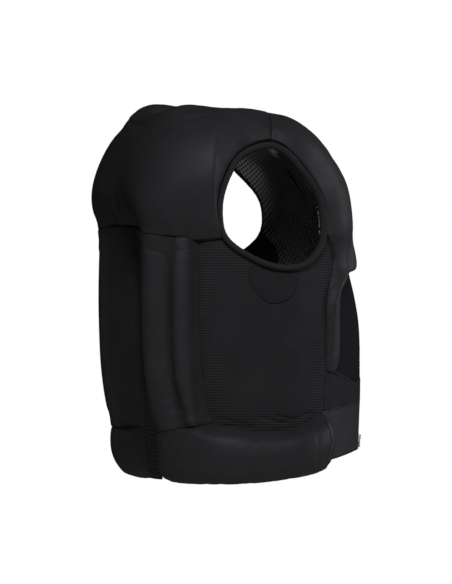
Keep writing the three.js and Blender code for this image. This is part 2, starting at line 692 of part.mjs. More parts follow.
// Armhole bindings: a rolled band on the inside of each armhole's edge
function binding(left) {
  const centre = [];
  const inwards = [];
  const outwards = [];
  for (let step = 0; step < BINDING_STEPS; step += 1) {
    const place = armholeLoop.getPointAt(step / BINDING_STEPS);
    const ahead = armholeLoop.getPointAt(((step + 0.1) / BINDING_STEPS) % 1);
    const here = torso(place.x / MAP_TURN, place.y / MAP_RING);
    const next = torso(ahead.x / MAP_TURN, ahead.y / MAP_RING);
    const out = outward(place.x / MAP_TURN, place.y / MAP_RING);
    const across = out.clone().cross(next.sub(here)).normalize();
    centre.push(here.addScaledVector(across, BINDING_WIDTH / 2 + BINDING_GAP));
    inwards.push(across);
    outwards.push(out);
  }
  const positions = [];
  const index = [];
  for (let step = 0; step < BINDING_STEPS; step += 1) {
    for (let side = 0; side < BINDING_SIDES; side += 1) {
      const angle = (side / BINDING_SIDES) * 2 * Math.PI;
      const spot = centre[step].clone();
      spot.addScaledVector(inwards[step], (BINDING_WIDTH / 2) * Math.cos(angle));
      spot.addScaledVector(outwards[step], (BINDING_HEIGHT / 2) * (1 + Math.sin(angle)));
      positions.push(left ? -spot.x : spot.x, spot.y, spot.z);
      const nextStep = ((step + 1) % BINDING_STEPS) * BINDING_SIDES;
      const nextSide = (side + 1) % BINDING_SIDES;
      const a = step * BINDING_SIDES + side;
      const b = step * BINDING_SIDES + nextSide;
      const c = nextStep + nextSide;
      const d = nextStep + side;
      index.push(a, b, c, a, c, d);
    }
  }
  return solid(positions, index, BLACK_TRIM, 0.8, 0);
}

for (const side of ["right", "left"]) {
  const band = binding(side === "left");
  band.name = `armhole_binding_${side}`;
  vest.add(band);
}

// Zip: two tapes, the row of teeth between them, and the slider with its pull near the hem
addPair({
  name: "zip_tape", colour: BLACK_TRIM, roughness: 0.8, across: evenly(1), down: evenly(ZIP_STEPS),
  on: patch(
    straight(zipLine(CHAIN_HALF, NECK_FRONT, FRONT_HEM)(0), zipEdge(NECK_FRONT, FRONT_HEM)(0)),
    straight(zipLine(CHAIN_HALF, NECK_FRONT, FRONT_HEM)(1), zipEdge(NECK_FRONT, FRONT_HEM)(1)),
    zipLine(CHAIN_HALF, NECK_FRONT, FRONT_HEM), zipEdge(NECK_FRONT, FRONT_HEM),
  ),
  inner: flat(0), outer: flat(TAPE),
});
const chainEdge = zipLine(CHAIN_HALF, NECK_FRONT, SLIDER_TOP);
const chainFar = (share) => {
  const place = chainEdge(share);
  return place.setX(2 * Math.PI * MAP_TURN - place.x);
};
addPanel({
  name: "zip_chain", colour: BLACK_TRIM, roughness: 0.5, across: evenly(2), down: evenly(ZIP_STEPS),
  on: patch(
    straight(chainEdge(0), chainFar(0)), straight(chainEdge(1), chainFar(1)), chainEdge, chainFar,
  ),
  inner: flat(0), outer: flat(CHAIN_HEIGHT),
});

const zipFace = (z) => {
  const place = locate({ x: 0, z }, "front");
  return torso(place.x / MAP_TURN, place.y / MAP_RING).y;
};
const sliderBack = Math.min(zipFace(SLIDER_TOP), zipFace(SLIDER_TOP - SLIDER.height)) - TAPE - SKIN_GAP;
const sliderFront = sliderBack - SLIDER.depth;
const sliderMiddle = SLIDER_TOP - SLIDER.height / 2;

// A rectangle with round corners, as a shape round its own middle.
function roundedRectangle(width, height, corner) {
  const shape = new THREE.Shape();
  const x = width / 2 - corner;
  const y = height / 2 - corner;
  shape.absarc(x, y, corner, 0, Math.PI / 2);
  shape.absarc(-x, y, corner, Math.PI / 2, Math.PI);
  shape.absarc(-x, -y, corner, Math.PI, 1.5 * Math.PI);
  shape.absarc(x, -y, corner, 1.5 * Math.PI, 2 * Math.PI);
  return shape;
}

// The slider's plate stands upright in front of the tapes, and the bridge on it is seen from the side.
function makeSlider() {
  const plateShape = roundedRectangle(SLIDER.width, SLIDER.height, SLIDER.corner);
  const thick = { depth: SLIDER.depth, bevelEnabled: false, curveSegments: 3 };
  const plate = new THREE.ExtrudeGeometry(plateShape, thick);
  plate.rotateX(Math.PI / 2).translate(0, sliderBack, sliderMiddle);
  const reach = BRIDGE.gap + BRIDGE.thickness;
  const side = new THREE.Shape([
    new THREE.Vector2(-BRIDGE.sunk, -BRIDGE.half),
    new THREE.Vector2(reach, -BRIDGE.half),
    new THREE.Vector2(reach, BRIDGE.half),
    new THREE.Vector2(-BRIDGE.sunk, BRIDGE.half),
    new THREE.Vector2(-BRIDGE.sunk, BRIDGE.half - BRIDGE.thickness),
    new THREE.Vector2(BRIDGE.gap, BRIDGE.half - BRIDGE.thickness),
    new THREE.Vector2(BRIDGE.gap, BRIDGE.thickness - BRIDGE.half),
    new THREE.Vector2(-BRIDGE.sunk, BRIDGE.thickness - BRIDGE.half),
  ]);
  const bridge = new THREE.ExtrudeGeometry(side, { depth: BRIDGE.width, bevelEnabled: false });
  bridge.translate(0, 0, -BRIDGE.width / 2).rotateX(Math.PI / 2).rotateZ(-Math.PI / 2);
  bridge.translate(0, sliderFront, sliderMiddle);
  return join(plate, bridge);
}

// One solid from two that overlap.
function join(first, second) {
  const made = toManifold(first).add(toManifold(second)).getMesh();
  const geometry = new THREE.BufferGeometry();
  geometry.setAttribute("position", new THREE.Float32BufferAttribute(made.vertProperties, 3));
  geometry.setIndex(Array.from(made.triVerts));
  return geometry;
}

function toManifold(geometry) {
  const bare = geometry.clone();
  bare.deleteAttribute("normal");
  bare.deleteAttribute("uv");
  const merged = mergeVertices(bare, 1e-4);
  return new wasm.Manifold(new wasm.Mesh({
    numProp: 3,
    vertProperties: new Float32Array(merged.attributes.position.array),
    triVerts: new Uint32Array(merged.index.array),
  }));
}

// The pull hangs with its top bar inside the bridge. Its own origin is the middle of that bar.
function makePull() {
  const shape = roundedRectangle(PULL.width, PULL.length, PULL.corner);
  const slotTop = PULL.length / 2 - PULL.bar;
  const slot = new THREE.Path([
    new THREE.Vector2(-PULL.slotWidth / 2, slotTop),
    new THREE.Vector2(PULL.slotWidth / 2, slotTop),
    new THREE.Vector2(PULL.slotWidth / 2, slotTop - PULL.slotLength),
    new THREE.Vector2(-PULL.slotWidth / 2, slotTop - PULL.slotLength),
  ]);
  shape.holes.push(slot);
  const thick = { depth: PULL.depth, bevelEnabled: false, curveSegments: 4 };
  const plate = new THREE.ExtrudeGeometry(shape, thick);
  plate.translate(0, PULL.bar / 2 - PULL.length / 2, -PULL.depth / 2);
  return plate.rotateX(Math.PI / 2);
}

const metal = () => new THREE.MeshStandardMaterial({ color: SILVER, roughness: 0.35, metalness: 1 });
const slider = new THREE.Mesh(makeSlider(), metal());
slider.name = "zip_slider";
vest.add(slider);
const pull = new THREE.Mesh(makePull(), metal());
pull.name = "zip_pull";
pull.position.set(0, sliderFront - BRIDGE.gap / 2, sliderMiddle);
vest.add(pull);

export default vest;
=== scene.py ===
# %% [markdown]
# # An inflated airbag vest
# The vest is a black stretch garment with air cushions sewn into its yoke, back, waist and chest. Between the
# cushions lie a ribbed knit on each side, a net over the spine and flat panels beside the zip.
# The solids of every piece are loaded first and stay where they are. Each soft solid is then stood for by a
# finer piece: a cushion that is blown up by a cloth simulation, or a thin sheet with real ribs and wrinkles.

# %% Load the frame
import json
import math

import bmesh
import bpy
import numpy as np
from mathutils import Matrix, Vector, noise
from mathutils.bvhtree import BVHTree
from mathutils.kdtree import KDTree

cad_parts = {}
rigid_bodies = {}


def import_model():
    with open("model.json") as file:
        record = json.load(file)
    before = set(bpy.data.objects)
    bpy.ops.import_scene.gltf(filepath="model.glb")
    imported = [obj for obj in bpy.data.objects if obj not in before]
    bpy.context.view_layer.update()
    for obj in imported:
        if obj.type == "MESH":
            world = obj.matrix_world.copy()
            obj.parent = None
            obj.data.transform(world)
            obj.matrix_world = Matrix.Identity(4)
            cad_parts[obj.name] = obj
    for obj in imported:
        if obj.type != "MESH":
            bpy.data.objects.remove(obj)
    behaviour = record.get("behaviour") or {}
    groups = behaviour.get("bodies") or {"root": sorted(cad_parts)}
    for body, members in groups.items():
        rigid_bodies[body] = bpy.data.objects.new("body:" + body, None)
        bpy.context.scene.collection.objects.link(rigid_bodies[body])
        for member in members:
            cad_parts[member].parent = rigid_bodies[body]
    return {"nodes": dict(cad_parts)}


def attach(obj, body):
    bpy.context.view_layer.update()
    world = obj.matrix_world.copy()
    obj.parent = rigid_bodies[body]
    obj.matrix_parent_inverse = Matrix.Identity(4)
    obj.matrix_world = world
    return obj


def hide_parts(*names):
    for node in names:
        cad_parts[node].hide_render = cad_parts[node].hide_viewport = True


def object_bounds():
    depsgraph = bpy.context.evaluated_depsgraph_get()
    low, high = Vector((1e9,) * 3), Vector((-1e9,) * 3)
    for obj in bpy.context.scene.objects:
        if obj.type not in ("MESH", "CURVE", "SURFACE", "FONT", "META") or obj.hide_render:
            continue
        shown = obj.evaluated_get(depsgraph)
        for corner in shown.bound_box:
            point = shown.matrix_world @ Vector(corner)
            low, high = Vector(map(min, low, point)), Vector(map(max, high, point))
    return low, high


for leftover in list(bpy.data.objects):
    bpy.data.objects.remove(leftover)
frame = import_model()
nodes = frame["nodes"]
cad_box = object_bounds()
MM = 0.001
SIDES = ("right", "left")
print("loaded", len(nodes), "solids in the box", [tuple(round(v, 3) for v in corner) for corner in cad_box])

# %% [markdown]
# ## Camera
# The photograph looks at the wearer's right side, a little from behind, through a long lens. A long lens has
# almost no perspective, so one pixel is nearly the same size all over the vest. The camera is placed from
# that size and from the pixel where the vest's own origin falls. The same numbers turn a photo pixel into
# a ray later, so that a crease can be laid exactly where the photograph shows it.

# %% Camera
PHOTO_WIDTH, PHOTO_HEIGHT = 452, 584
PIXEL = 1.5 * MM
ORIGIN_PIXEL = (242, 124)
AZIMUTH, ELEVATION = math.radians(251), math.radians(1.5)
DISTANCE = 14.0
SENSOR = 36.0

to_camera = Vector((
    math.sin(AZIMUTH) * math.cos(ELEVATION), -math.cos(AZIMUTH) * math.cos(ELEVATION), math.sin(ELEVATION),
))
picture_right = Vector((math.cos(AZIMUTH), math.sin(AZIMUTH), 0))
picture_up = to_camera.cross(picture_right)


def photo_point(across, down):
    """The point under a photo pixel, on the upright plane through the vest's origin that faces the camera."""
    return (across - ORIGIN_PIXEL[0]) * PIXEL * picture_right - (down - ORIGIN_PIXEL[1]) * PIXEL * picture_up


camera = bpy.data.objects.new("camera", bpy.data.cameras.new("camera"))
bpy.context.scene.collection.objects.link(camera)
bpy.context.scene.camera = camera
camera.location = photo_point(PHOTO_WIDTH / 2, PHOTO_HEIGHT / 2) + DISTANCE * to_camera
camera.rotation_mode = "QUATERNION"
camera.rotation_quaternion = (-to_camera).to_track_quat("-Z", "Y")
camera.data.sensor_width = SENSOR
camera.data.lens = SENSOR * DISTANCE / (PHOTO_HEIGHT * PIXEL)
print("camera with a lens of", round(camera.data.lens), "mm")

# %% [markdown]
# ## Shader maths as Python
# Every finish is drawn by shader nodes, with no pictures. A Value wraps one output of a node, and its
# operators add Math nodes, so a pattern reads as a formula. A Finish is one material under construction.

# %% Value and Finish
GLOSS_COLOUR = (0.02, 0.02, 0.021, 1)


class Value:
    """A number that changes over a surface: one output of a shader node."""

    def __init__(self, finish, socket):
        self.finish = finish
        self.socket = socket

    def __add__(self, other):
        return self.finish.math("ADD", self, other)

    __radd__ = __add__

    def __sub__(self, other):
        return self.finish.math("SUBTRACT", self, other)

    def __rsub__(self, other):
        return self.finish.math("SUBTRACT", other, self)

    def __mul__(self, other):
        return self.finish.math("MULTIPLY", self, other)

    __rmul__ = __mul__

    def __pow__(self, other):
        return self.finish.math("POWER", self, other)


class Finish:
    """A material whose shader is built up from formulas."""

    def __init__(self, name, **constants):
        self.material = bpy.data.materials.new(name)
        self.material.use_nodes = True
        self.tree = self.material.node_tree
        self.shader = self.tree.nodes["Principled BSDF"]
        for socket, value in constants.items():
            self.shader.inputs[socket.replace("_", " ")].default_value = value

    def node(self, kind, settings=None, inputs=None, output=0):
        """Adds a node of any type: its settings first, then the values or links of its sockets."""
        made = self.tree.nodes.new("ShaderNode" + kind)
        for name, value in (settings or {}).items():
            setattr(made, name, value)
        for socket, value in (inputs or {}).items():
            self.feed(made.inputs[socket], value)
        return Value(self, made.outputs[output])

    def feed(self, socket, value):
        if isinstance(value, Value):
            self.tree.links.new(value.socket, socket)
        else:
            socket.default_value = value

    def math(self, operation, *values):
        return self.node("Math", {"operation": operation}, dict(enumerate(values)))

    def sine(self, value):
        return self.math("SINE", value)

    def step(self, value, low, high):
        """0 below low, 1 above high and smooth between them."""
        settings = {"interpolation_type": "SMOOTHSTEP"}
        return self.node("MapRange", settings, {"Value": value, "From Min": low, "From Max": high})

    def place(self):
        """x, y and z of the surface point, in metres."""
        where = self.node("TexCoord", output="Object")
        return [self.node("SeparateXYZ", inputs={0: where}, output=axis) for axis in range(3)]

    def noise(self, scale, detail=2.0):
        """Soft noise from 0 to 1, with so many lumps to the metre."""
        where = self.node("TexCoord", output="Object")
        return self.node("TexNoise", inputs={"Vector": where, "Scale": scale, "Detail": detail})

    def attribute(self, name):
        """A number that the mesh carries at its points."""
        return self.node("Attribute", {"attribute_name": name}, output="Fac")

    def blend(self, low, high, share):
        """A colour between two, by a share."""
        inputs = {"Factor": share, 6: (*low, 1), 7: (*high, 1)}
        return self.node("Mix", {"data_type": "RGBA"}, inputs, output=2)

    def colour(self, low, high, share):
        self.feed(self.shader.inputs["Base Color"], self.blend(low, high, share))

    def rough(self, value):
        self.feed(self.shader.inputs["Roughness"], value)

    def gloss(self, strength, roughness):
        """Mixes in a soft gloss that is equally weak at every angle."""
        lobe = self.node("BsdfAnisotropic", inputs={"Color": GLOSS_COLOUR, "Roughness": roughness})
        own = Value(self, self.shader.outputs[0])
        mixed = self.node("MixShader", inputs={0: strength, 1: own, 2: lobe})
        self.feed(self.tree.nodes["Material Output"].inputs["Surface"], mixed)

    def relief(self, height, depth, strength=1.0):
        """Bump of a height from 0 to 1 that stands for so many metres."""
        inputs = {"Height": height, "Distance": depth, "Strength": strength}
        self.feed(self.shader.inputs["Normal"], self.node("Bump", inputs=inputs))


print("shader helpers ready")

# %% [markdown]
# ## Where a thread runs
# Cloth patterns follow the cloth: one set of threads runs round the body and the other runs down it. The way
# round is the angle about the body's axis. The way down is the height less the distance from the axis, so
# that it keeps counting where the cloth turns over the shoulder and its height hardly changes.

# %% Cloth directions
AXIS_Y = -12 * MM
GIRTH_RADIUS = 170 * MM


def threads(finish):
    """The way round the vest and the way down it, in metres, at a surface point."""
    x, y, z = finish.place()
    y = y - AXIS_Y
    angle = finish.math("ARCTAN2", x, y)
    radius = (x * x + y * y) ** 0.5
    return angle * GIRTH_RADIUS, z - radius


def ripple(finish, distance, pitch):
    """A wave from 0 to 1 that repeats at a pitch along a distance."""
    return 0.5 + 0.5 * finish.sine(distance * (2 * math.pi / pitch))


print("cloth directions ready")

# %% [markdown]
# ## The black stretch cloth of the cushions
# The shell is a matte black stretch cloth with a fine close weave. The usual specular share is taken out: it
# grows at the edges, and on black cloth it would draw bright lines round every outline in a white studio. The
# soft shine on the crowns of the cushions comes from a gloss that is equally weak at every angle instead.
# Black cloth is never one even black, so a slow noise moves its colour and roughness. Painted shade darkens
# the colour along the seams.

# %% Shell finish
CLOTH = {"Specular_IOR_Level": 0.0}
SHINE_ROUGHNESS = 0.58
MOTTLE, GRAIN, FUZZ = 26, 420, 2600
SEAM_SHADE_REACH = 0.5 * MM, 5 * MM
WEAVE_RELIEF = 0.12 * MM


def shell_finish(name, dark, light, weave_pitch, shine=0.0):
    finish = Finish(name, **CLOTH)
    if shine:
        finish.gloss(shine, SHINE_ROUGHNESS)
    round_way, down_way = threads(finish)
    warp = ripple(finish, round_way + down_way, weave_pitch)
    weft = ripple(finish, round_way - down_way, weave_pitch)
    weave = warp * weft
    mottle = finish.noise(MOTTLE, 3)
    fuzz = finish.noise(FUZZ, 2)
    # painted shade: the colour is darkened by up to a fifth along every seam, where the cushions meet
    seam = 1 - finish.step(finish.attribute("seam"), *SEAM_SHADE_REACH)
    grain = finish.noise(GRAIN, 2)
    worn = 0.3 * mottle + 0.4 * grain + 0.15 * fuzz + 0.15 * weave
    finish.colour(dark, light, worn * (1 - 0.2 * seam))
    finish.rough(0.78 + 0.16 * fuzz)
    finish.relief(0.7 * weave + 0.3 * fuzz, WEAVE_RELIEF, 0.55)
    return finish.material


shell = shell_finish("shell_cloth", (0.0004, 0.0004, 0.0005), (0.0027, 0.0027, 0.0029), 1.1 * MM, 0.05)
flat_cloth = shell_finish("flat_cloth", (0.0003, 0.0003, 0.0004), (0.0018, 0.0018, 0.002), 0.9 * MM)
patch_cloth = shell_finish("patch_cloth", (0.0005, 0.0005, 0.0006), (0.0029, 0.0029, 0.0031), 0.8 * MM)
# the trim cloth is the shell cloth made brighter: a painted highlight for the piping on the waist rolls
highlit_trim_cloth = shell_finish("highlit_trim_cloth", (0.0011, 0.0011, 0.0012), (0.005, 0.005, 0.0052), 0.8 * MM, 0.08)
print("cloth finishes made")

# %% [markdown]
# ## Ribbed knit, net, binding and tape
# The knit at the sides has level ribs that are modelled later. Its finish paints light on each rib and shade
# between the ribs, strongest near the sewn edges, and adds the small loops along each rib. The spacer net has
# a diamond grid of small dark holes, and the net over the spine has darker cords: painted shade of the valley
# it lies in. The binding is a tightly rolled elastic with short ribs across it, and the zip tape has a fine
# herringbone.

# %% Knit, net, binding and tape finishes
RIB_PITCH = 4.0 * MM
LOOP_PITCH = 1.3 * MM
LOOP_SWAY = 0.4 * MM
RIB_SHADE_REACH = 8 * MM, 60 * MM
NET_PITCH = 7.0 * MM
NET_SLANT = 0.62
YARN_PITCH = 0.9 * MM
BINDING_PITCH = 1.6 * MM
TWILL_PITCH, TWILL_FOLD = 0.9 * MM, 1.5 * MM


def knit_finish():
    finish = Finish("ribbed_knit", **CLOTH)
    round_way, _ = threads(finish)
    z = finish.place()[2]
    rib = ripple(finish, z, RIB_PITCH)
    sway = LOOP_SWAY * finish.sine(z * (2 * math.pi / RIB_PITCH))
    loop = ripple(finish, round_way + sway, LOOP_PITCH)
    mottle = finish.noise(22, 2)
    # painted light on the rib crests and painted shade between them, strongest near the seams
    edge = 0.3 + 0.7 * (1 - finish.step(finish.attribute("seam"), *RIB_SHADE_REACH))
    rib_shade_and_mottle = 0.35 + 0.25 * mottle + edge * (0.3 * rib + 0.1 * loop * rib - 0.15)
    finish.colour((0.0003, 0.0003, 0.0004), (0.003, 0.003, 0.0032), rib_shade_and_mottle)
    finish.rough(0.9 - 0.1 * rib)
    finish.relief(loop * rib, 0.18 * MM, 0.5)
    return finish.material


def net_finish(name, pitch, cord_tone):
    finish = Finish(name, **CLOTH)
    round_way, down_way = threads(finish)
    first = ripple(finish, round_way + NET_SLANT * down_way, pitch)
    second = ripple(finish, round_way - NET_SLANT * down_way, pitch)
    cord = finish.math("MAXIMUM", first, second)
    hole = 1 - finish.step(cord, 0.5, 0.85)
    yarn = ripple(finish, down_way, YARN_PITCH)
    finish.colour((cord_tone, cord_tone, 1.03 * cord_tone), (0.0002, 0.0002, 0.0003), hole)
    finish.rough(0.82 + 0.1 * yarn)
    finish.relief(cord * 0.85 + 0.15 * yarn, 1.1 * MM, 0.9)
    return finish.material


def binding_finish():
    finish = Finish("rolled_binding", **CLOTH)
    round_way, down_way = threads(finish)
    cross = ripple(finish, round_way + down_way, BINDING_PITCH)
    fuzz = finish.noise(1800, 2)
    finish.colour((0.0005, 0.0005, 0.0006), (0.0028, 0.0028, 0.003), 0.5 * cross + 0.5 * fuzz)
    finish.rough(0.75 + 0.15 * fuzz)
    finish.relief(cross, 0.2 * MM, 0.6)
    return finish.material


def tape_finish():
    finish = Finish("zip_tape", **CLOTH)
    x, _, z = finish.place()
    fold = finish.math("PINGPONG", x, TWILL_FOLD)
    twill = ripple(finish, z + fold, TWILL_PITCH)
    fuzz = finish.noise(900, 2)
    finish.colour((0.0012, 0.0012, 0.0013), (0.005, 0.005, 0.0053), 0.7 * twill + 0.3 * fuzz)
    finish.rough(0.8 - 0.1 * twill)
    finish.relief(twill, 0.15 * MM, 0.6)
    return finish.material


def thread_finish():
    finish = Finish("sewing_thread", **CLOTH)
    twist = finish.noise(4200, 2)
    finish.colour((0.002, 0.002, 0.0022), (0.008, 0.008, 0.0084), twist)
    finish.rough(0.6 + 0.2 * twist)
    finish.relief(twist, 0.05 * MM, 0.4)
    return finish.material


knit = knit_finish()
net = net_finish("spacer_net", NET_PITCH, 0.011)
# the spine net's cords are darker than the lining net's: painted shade of the valley over the spine
shaded_spine_net = net_finish("shaded_spine_net", NET_PITCH, 0.004)
binding_cloth = binding_finish()
tape = tape_finish()
thread = thread_finish()
print("knit, net, binding, tape and thread finishes made")

# %% [markdown]
# ## Zip teeth and metal
# The teeth are moulded plastic: dark, smooth and slightly glossy. The slider and its pull are metal
# with a dark plating that fingers have brushed, so fine scratches break up the gloss.

# %% Hard finishes
SCRATCH_ACROSS, SCRATCH_ALONG = 9000, 700


def teeth_finish():
    finish = Finish("zip_teeth", Specular_IOR_Level=0.1)
    mould = finish.noise(700, 3)
    finish.colour((0.004, 0.004, 0.0042), (0.012, 0.012, 0.0125), mould)
    finish.rough(0.5 + 0.2 * mould)
    finish.relief(mould, 0.03 * MM, 0.3)
    return finish.material


def metal_finish():
    finish = Finish("plated_metal", Metallic=1.0)
    x, _, z = finish.place()
    where = finish.node("CombineXYZ", inputs={0: x * SCRATCH_ACROSS, 1: z * SCRATCH_ALONG, 2: 0.0})
    scratch = finish.node("TexNoise", inputs={"Vector": where, "Scale": 1.0, "Detail": 3.0})
    smudge = finish.noise(320, 2)
    finish.colour((0.045, 0.046, 0.048), (0.13, 0.132, 0.136), 0.6 * scratch + 0.4 * smudge)
    finish.rough(0.24 + 0.2 * scratch + 0.12 * smudge)
    finish.relief(scratch, 0.01 * MM, 0.25)
    return finish.material


teeth_plastic = teeth_finish()
plated = metal_finish()
print("zip finishes made")

# %% [markdown]
# ## From a solid to a cloth mesh
# The solids are made of triangles that came from four-sided faces. Welding their corners and joining the
# triangles in pairs gives the four-sided faces back, and those subdivide into smooth curves. A sharp edge of
# the solid gets a crease, so that the subdivision rounds it like a folded edge and not like a ball.

# %% Mesh helpers
WELD = 0.001 * MM
RIM_ANGLE = math.radians(55)
CORNER_PULL, CORNER_ROUNDS = 0.9, 4


def quad_mesh(node):
    """The four-sided faces of a solid, as a bmesh."""
    mesh = bmesh.new()
    mesh.from_mesh(nodes[node].data)
    bmesh.ops.remove_doubles(mesh, verts=mesh.verts, dist=WELD)
    bmesh.ops.join_triangles(
        mesh, faces=mesh.faces, angle_face_threshold=math.pi, angle_shape_threshold=math.pi,
    )
    bmesh.ops.recalc_face_normals(mesh, faces=mesh.faces)
    return mesh


def crease_rims(mesh):
    """Marks the sharp edges of a mesh so that they stay tight when it is subdivided."""
    layer = mesh.edges.layers.float.new("crease_edge")
    for edge in mesh.edges:
        if len(edge.link_faces) == 2 and edge.calc_face_angle(0) > RIM_ANGLE:
            edge[layer] = 1.0


def add_piece(name, data, material, body="root"):
    """An object for a finished mesh. It rides on a body of the frame."""
    piece = bpy.data.objects.new(name, data)
    bpy.context.scene.collection.objects.link(piece)
    data.materials.append(material)
    smooth_shading(data)
    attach(piece, body)
    return piece


def new_piece(name, mesh, material, body="root"):
    """A piece from a bmesh, which is used up."""
    data = bpy.data.meshes.new(name)
    mesh.to_mesh(data)
    mesh.free()
    return add_piece(name, data, material, body)


def listed_piece(name, points, faces, material):
    """A piece from a list of points and a list of faces."""
    data = bpy.data.meshes.new(name)
    data.from_pydata(points, [], faces)
    return add_piece(name, data, material)


def smooth_shading(data):
    data.polygons.foreach_set("use_smooth", [True] * len(data.polygons))


def apply_modifiers(piece):
    """Replaces a piece's mesh by what its modifiers make of it."""
    graph = bpy.context.evaluated_depsgraph_get()
    made = bpy.data.meshes.new_from_object(piece.evaluated_get(graph))
    piece.modifiers.clear()
    piece.data = made
    smooth_shading(made)


def add_subdivision(piece, levels):
    step = piece.modifiers.new("finer", "SUBSURF")
    step.levels = step.render_levels = levels
    step.boundary_smooth = "PRESERVE_CORNERS"


def smooth_through(piece, levels):
    """Subdivides a piece so that the smooth surface still passes through its corners."""
    corners = points_of(piece)
    control = corners.copy()
    add_subdivision(piece, levels)
    for _ in range(CORNER_ROUNDS):
        shown = piece.evaluated_get(bpy.context.evaluated_depsgraph_get())
        reached = vectors_of(shown.to_mesh(), "co")[:len(corners)]
        shown.to_mesh_clear()
        control += CORNER_PULL * (corners - reached)
        move_points(piece, control)
    apply_modifiers(piece)


def vectors_of(mesh, name):
    """A vector for each point of a mesh, such as its place or its normal."""
    flat = np.empty(3 * len(mesh.vertices), np.float32)
    mesh.vertices.foreach_get(name, flat)
    return flat.reshape(-1, 3).astype(float)


def points_of(piece):
    return vectors_of(piece.data, "co")


def normals_of(piece):
    return vectors_of(piece.data, "normal")


def move_points(piece, points):
    piece.data.vertices.foreach_set("co", points.astype(np.float32).ravel())
    piece.data.update()


def push_out(piece, amount):
    """Moves the points of a piece along their normals by one distance, or by a distance for each."""
    move_points(piece, points_of(piece) + normals_of(piece) * np.reshape(amount, (-1, 1)))


def even_out(piece, weights, rounds):
    """Evens out a piece by averaging each point with its neighbours, more where its weight is larger."""
    group = piece.vertex_groups.new(name="even")
    for index, weight in enumerate(weights):
        group.add([index], float(weight), "REPLACE")
    step = piece.modifiers.new("even", "SMOOTH")
    step.factor = 0.5
    step.iterations = rounds
    step.vertex_group = group.name
    apply_modifiers(piece)
    piece.vertex_groups.clear()


def outward_share(piece):
    """How far each point's normal looks away from the body: 1 straight out, -1 straight in."""
    points = points_of(piece)
    away = points - np.array([0, AXIS_Y, 0])
    away[:, 2] = 0
    away /= np.maximum(np.linalg.norm(away, axis=1), 1e-6)[:, None]
    return (away * normals_of(piece)).sum(1)


def outer_side(piece):
    """1 where a piece looks outwards, 0 where it looks inwards, and soft between."""
    return np.clip(outward_share(piece) * 3, 0, 1)


def cloth_tree(piece):
    """A search tree over the faces of a piece."""
    return BVHTree.FromObject(piece, bpy.context.evaluated_depsgraph_get())


print("mesh helpers ready")

# %% [markdown]
# ## Seams
# A seam is where one solid comes close to another. For every point of a piece the nearest point of the
# neighbouring solids is looked up once. The distance says how far the seam is, and the neighbour's point says
# which spot of the seam it is, which is what makes puckers run straight away from the stitching.

# %% Seam lookup
SEAM_SWELL = 0.6 * MM
SWELL_REACH = 2 * MM
PUCKER_START = 1.5 * MM
RIM_NEAR = 9 * MM
NOT_SEWN = ("lining", "patch", "zip_slider", "zip_pull", "zip_chain")
SEED_STEP = (13.7, 7.1, 3.3)


def neighbours_tree(node):
    """A search tree over every soft solid that a node is sewn to, linings and small trim left out."""
    corners, faces = [], []
    for name, solid in nodes.items():
        if name == node or any(word in name for word in NOT_SEWN):
            continue
        start = len(corners)
        corners.extend(vertex.co.copy() for vertex in solid.data.vertices)
        faces.extend([start + index for index in face.vertices] for face in solid.data.polygons)
    return BVHTree.FromPolygons(corners, faces)


def seam_places(piece, node):
    """Distance to the nearest seam, and that spot of the seam, for each point of a piece."""
    tree = neighbours_tree(node)
    distance, spots = [], []
    for point in points_of(piece):
        spot, _, _, away = tree.find_nearest(Vector(point))
        distance.append(away)
        spots.append(spot)
    return np.array(distance), np.array(spots)


def rim_distance(piece, node):
    """Distance from each point of a piece to its sewn rim: the sharp edges that lie near another piece."""
    beside, _ = seam_places(piece, node)
    mesh = bmesh.new()
    mesh.from_mesh(piece.data)
    sharp = [edge for edge in mesh.edges if edge.calc_face_angle(0) > RIM_ANGLE]
    rim = {vertex for edge in sharp for vertex in edge.verts if beside[vertex.index] < RIM_NEAR}
    tree = KDTree(len(rim))
    for number, vertex in enumerate(rim):
        tree.insert(vertex.co, number)
    tree.balance()
    distance = np.array([tree.find(vertex.co)[2] for vertex in mesh.verts])
    mesh.free()
    return distance


def store(piece, name, values):
    """Keeps a number for each point of a piece, for its finish to read."""
    kept = piece.data.attributes.new(name, "FLOAT", "POINT")
    kept.data.foreach_set("value", values.astype(np.float32))


def lumps(places, size, seed):
    """Smooth noise from about -1 to 1 at each place, with lumps of a size."""
    shift = Vector([step * seed for step in SEED_STEP])
    return np.array([noise.noise(Vector(place) / size + shift) for place in places])


def close_seams(piece, node):
    """Swells a piece by a hair where it meets its neighbours, so that no light shows through the seam."""
    distance, _ = seam_places(piece, node)
    push_out(piece, SEAM_SWELL * np.clip(1.5 - distance / SWELL_REACH, 0, 1))


def pucker(piece, node, depth, reach, size, seed):
    """Small folds that run away from the seams of a piece."""
    distance, spots = seam_places(piece, node)
    waves = lumps(spots, size, seed)
    fade = np.exp(-distance / reach) * np.clip(distance / PUCKER_START, 0, 1)
    push_out(piece, depth * waves * fade * outer_side(piece))
    store(piece, "seam", distance)


print("seam helpers ready")

# %% [markdown]
# ## Lines from the photograph
# Some folds can only be placed one by one. Each is written as a few photo pixels, and a ray through each
# pixel finds the spot on the piece. The same line is mirrored to the other side of the body. Pressing a line
# moves the points near it inwards by a soft bell curve of a depth and a width. A negative depth raises a
# ridge.

# %% Pressed lines
MIRROR = np.array([-1.0, 1.0, 1.0])


def photo_line(piece, pixels):
    """Where a line of photo pixels falls on a piece, as points in metres."""
    tree = cloth_tree(piece)
    found = []
    for across, down in pixels:
        aim = (photo_point(across, down) - camera.location).normalized()
        spot = tree.ray_cast(camera.location, aim)[0]
        if spot is not None:
            found.append(np.array(spot))
    return np.array(found)


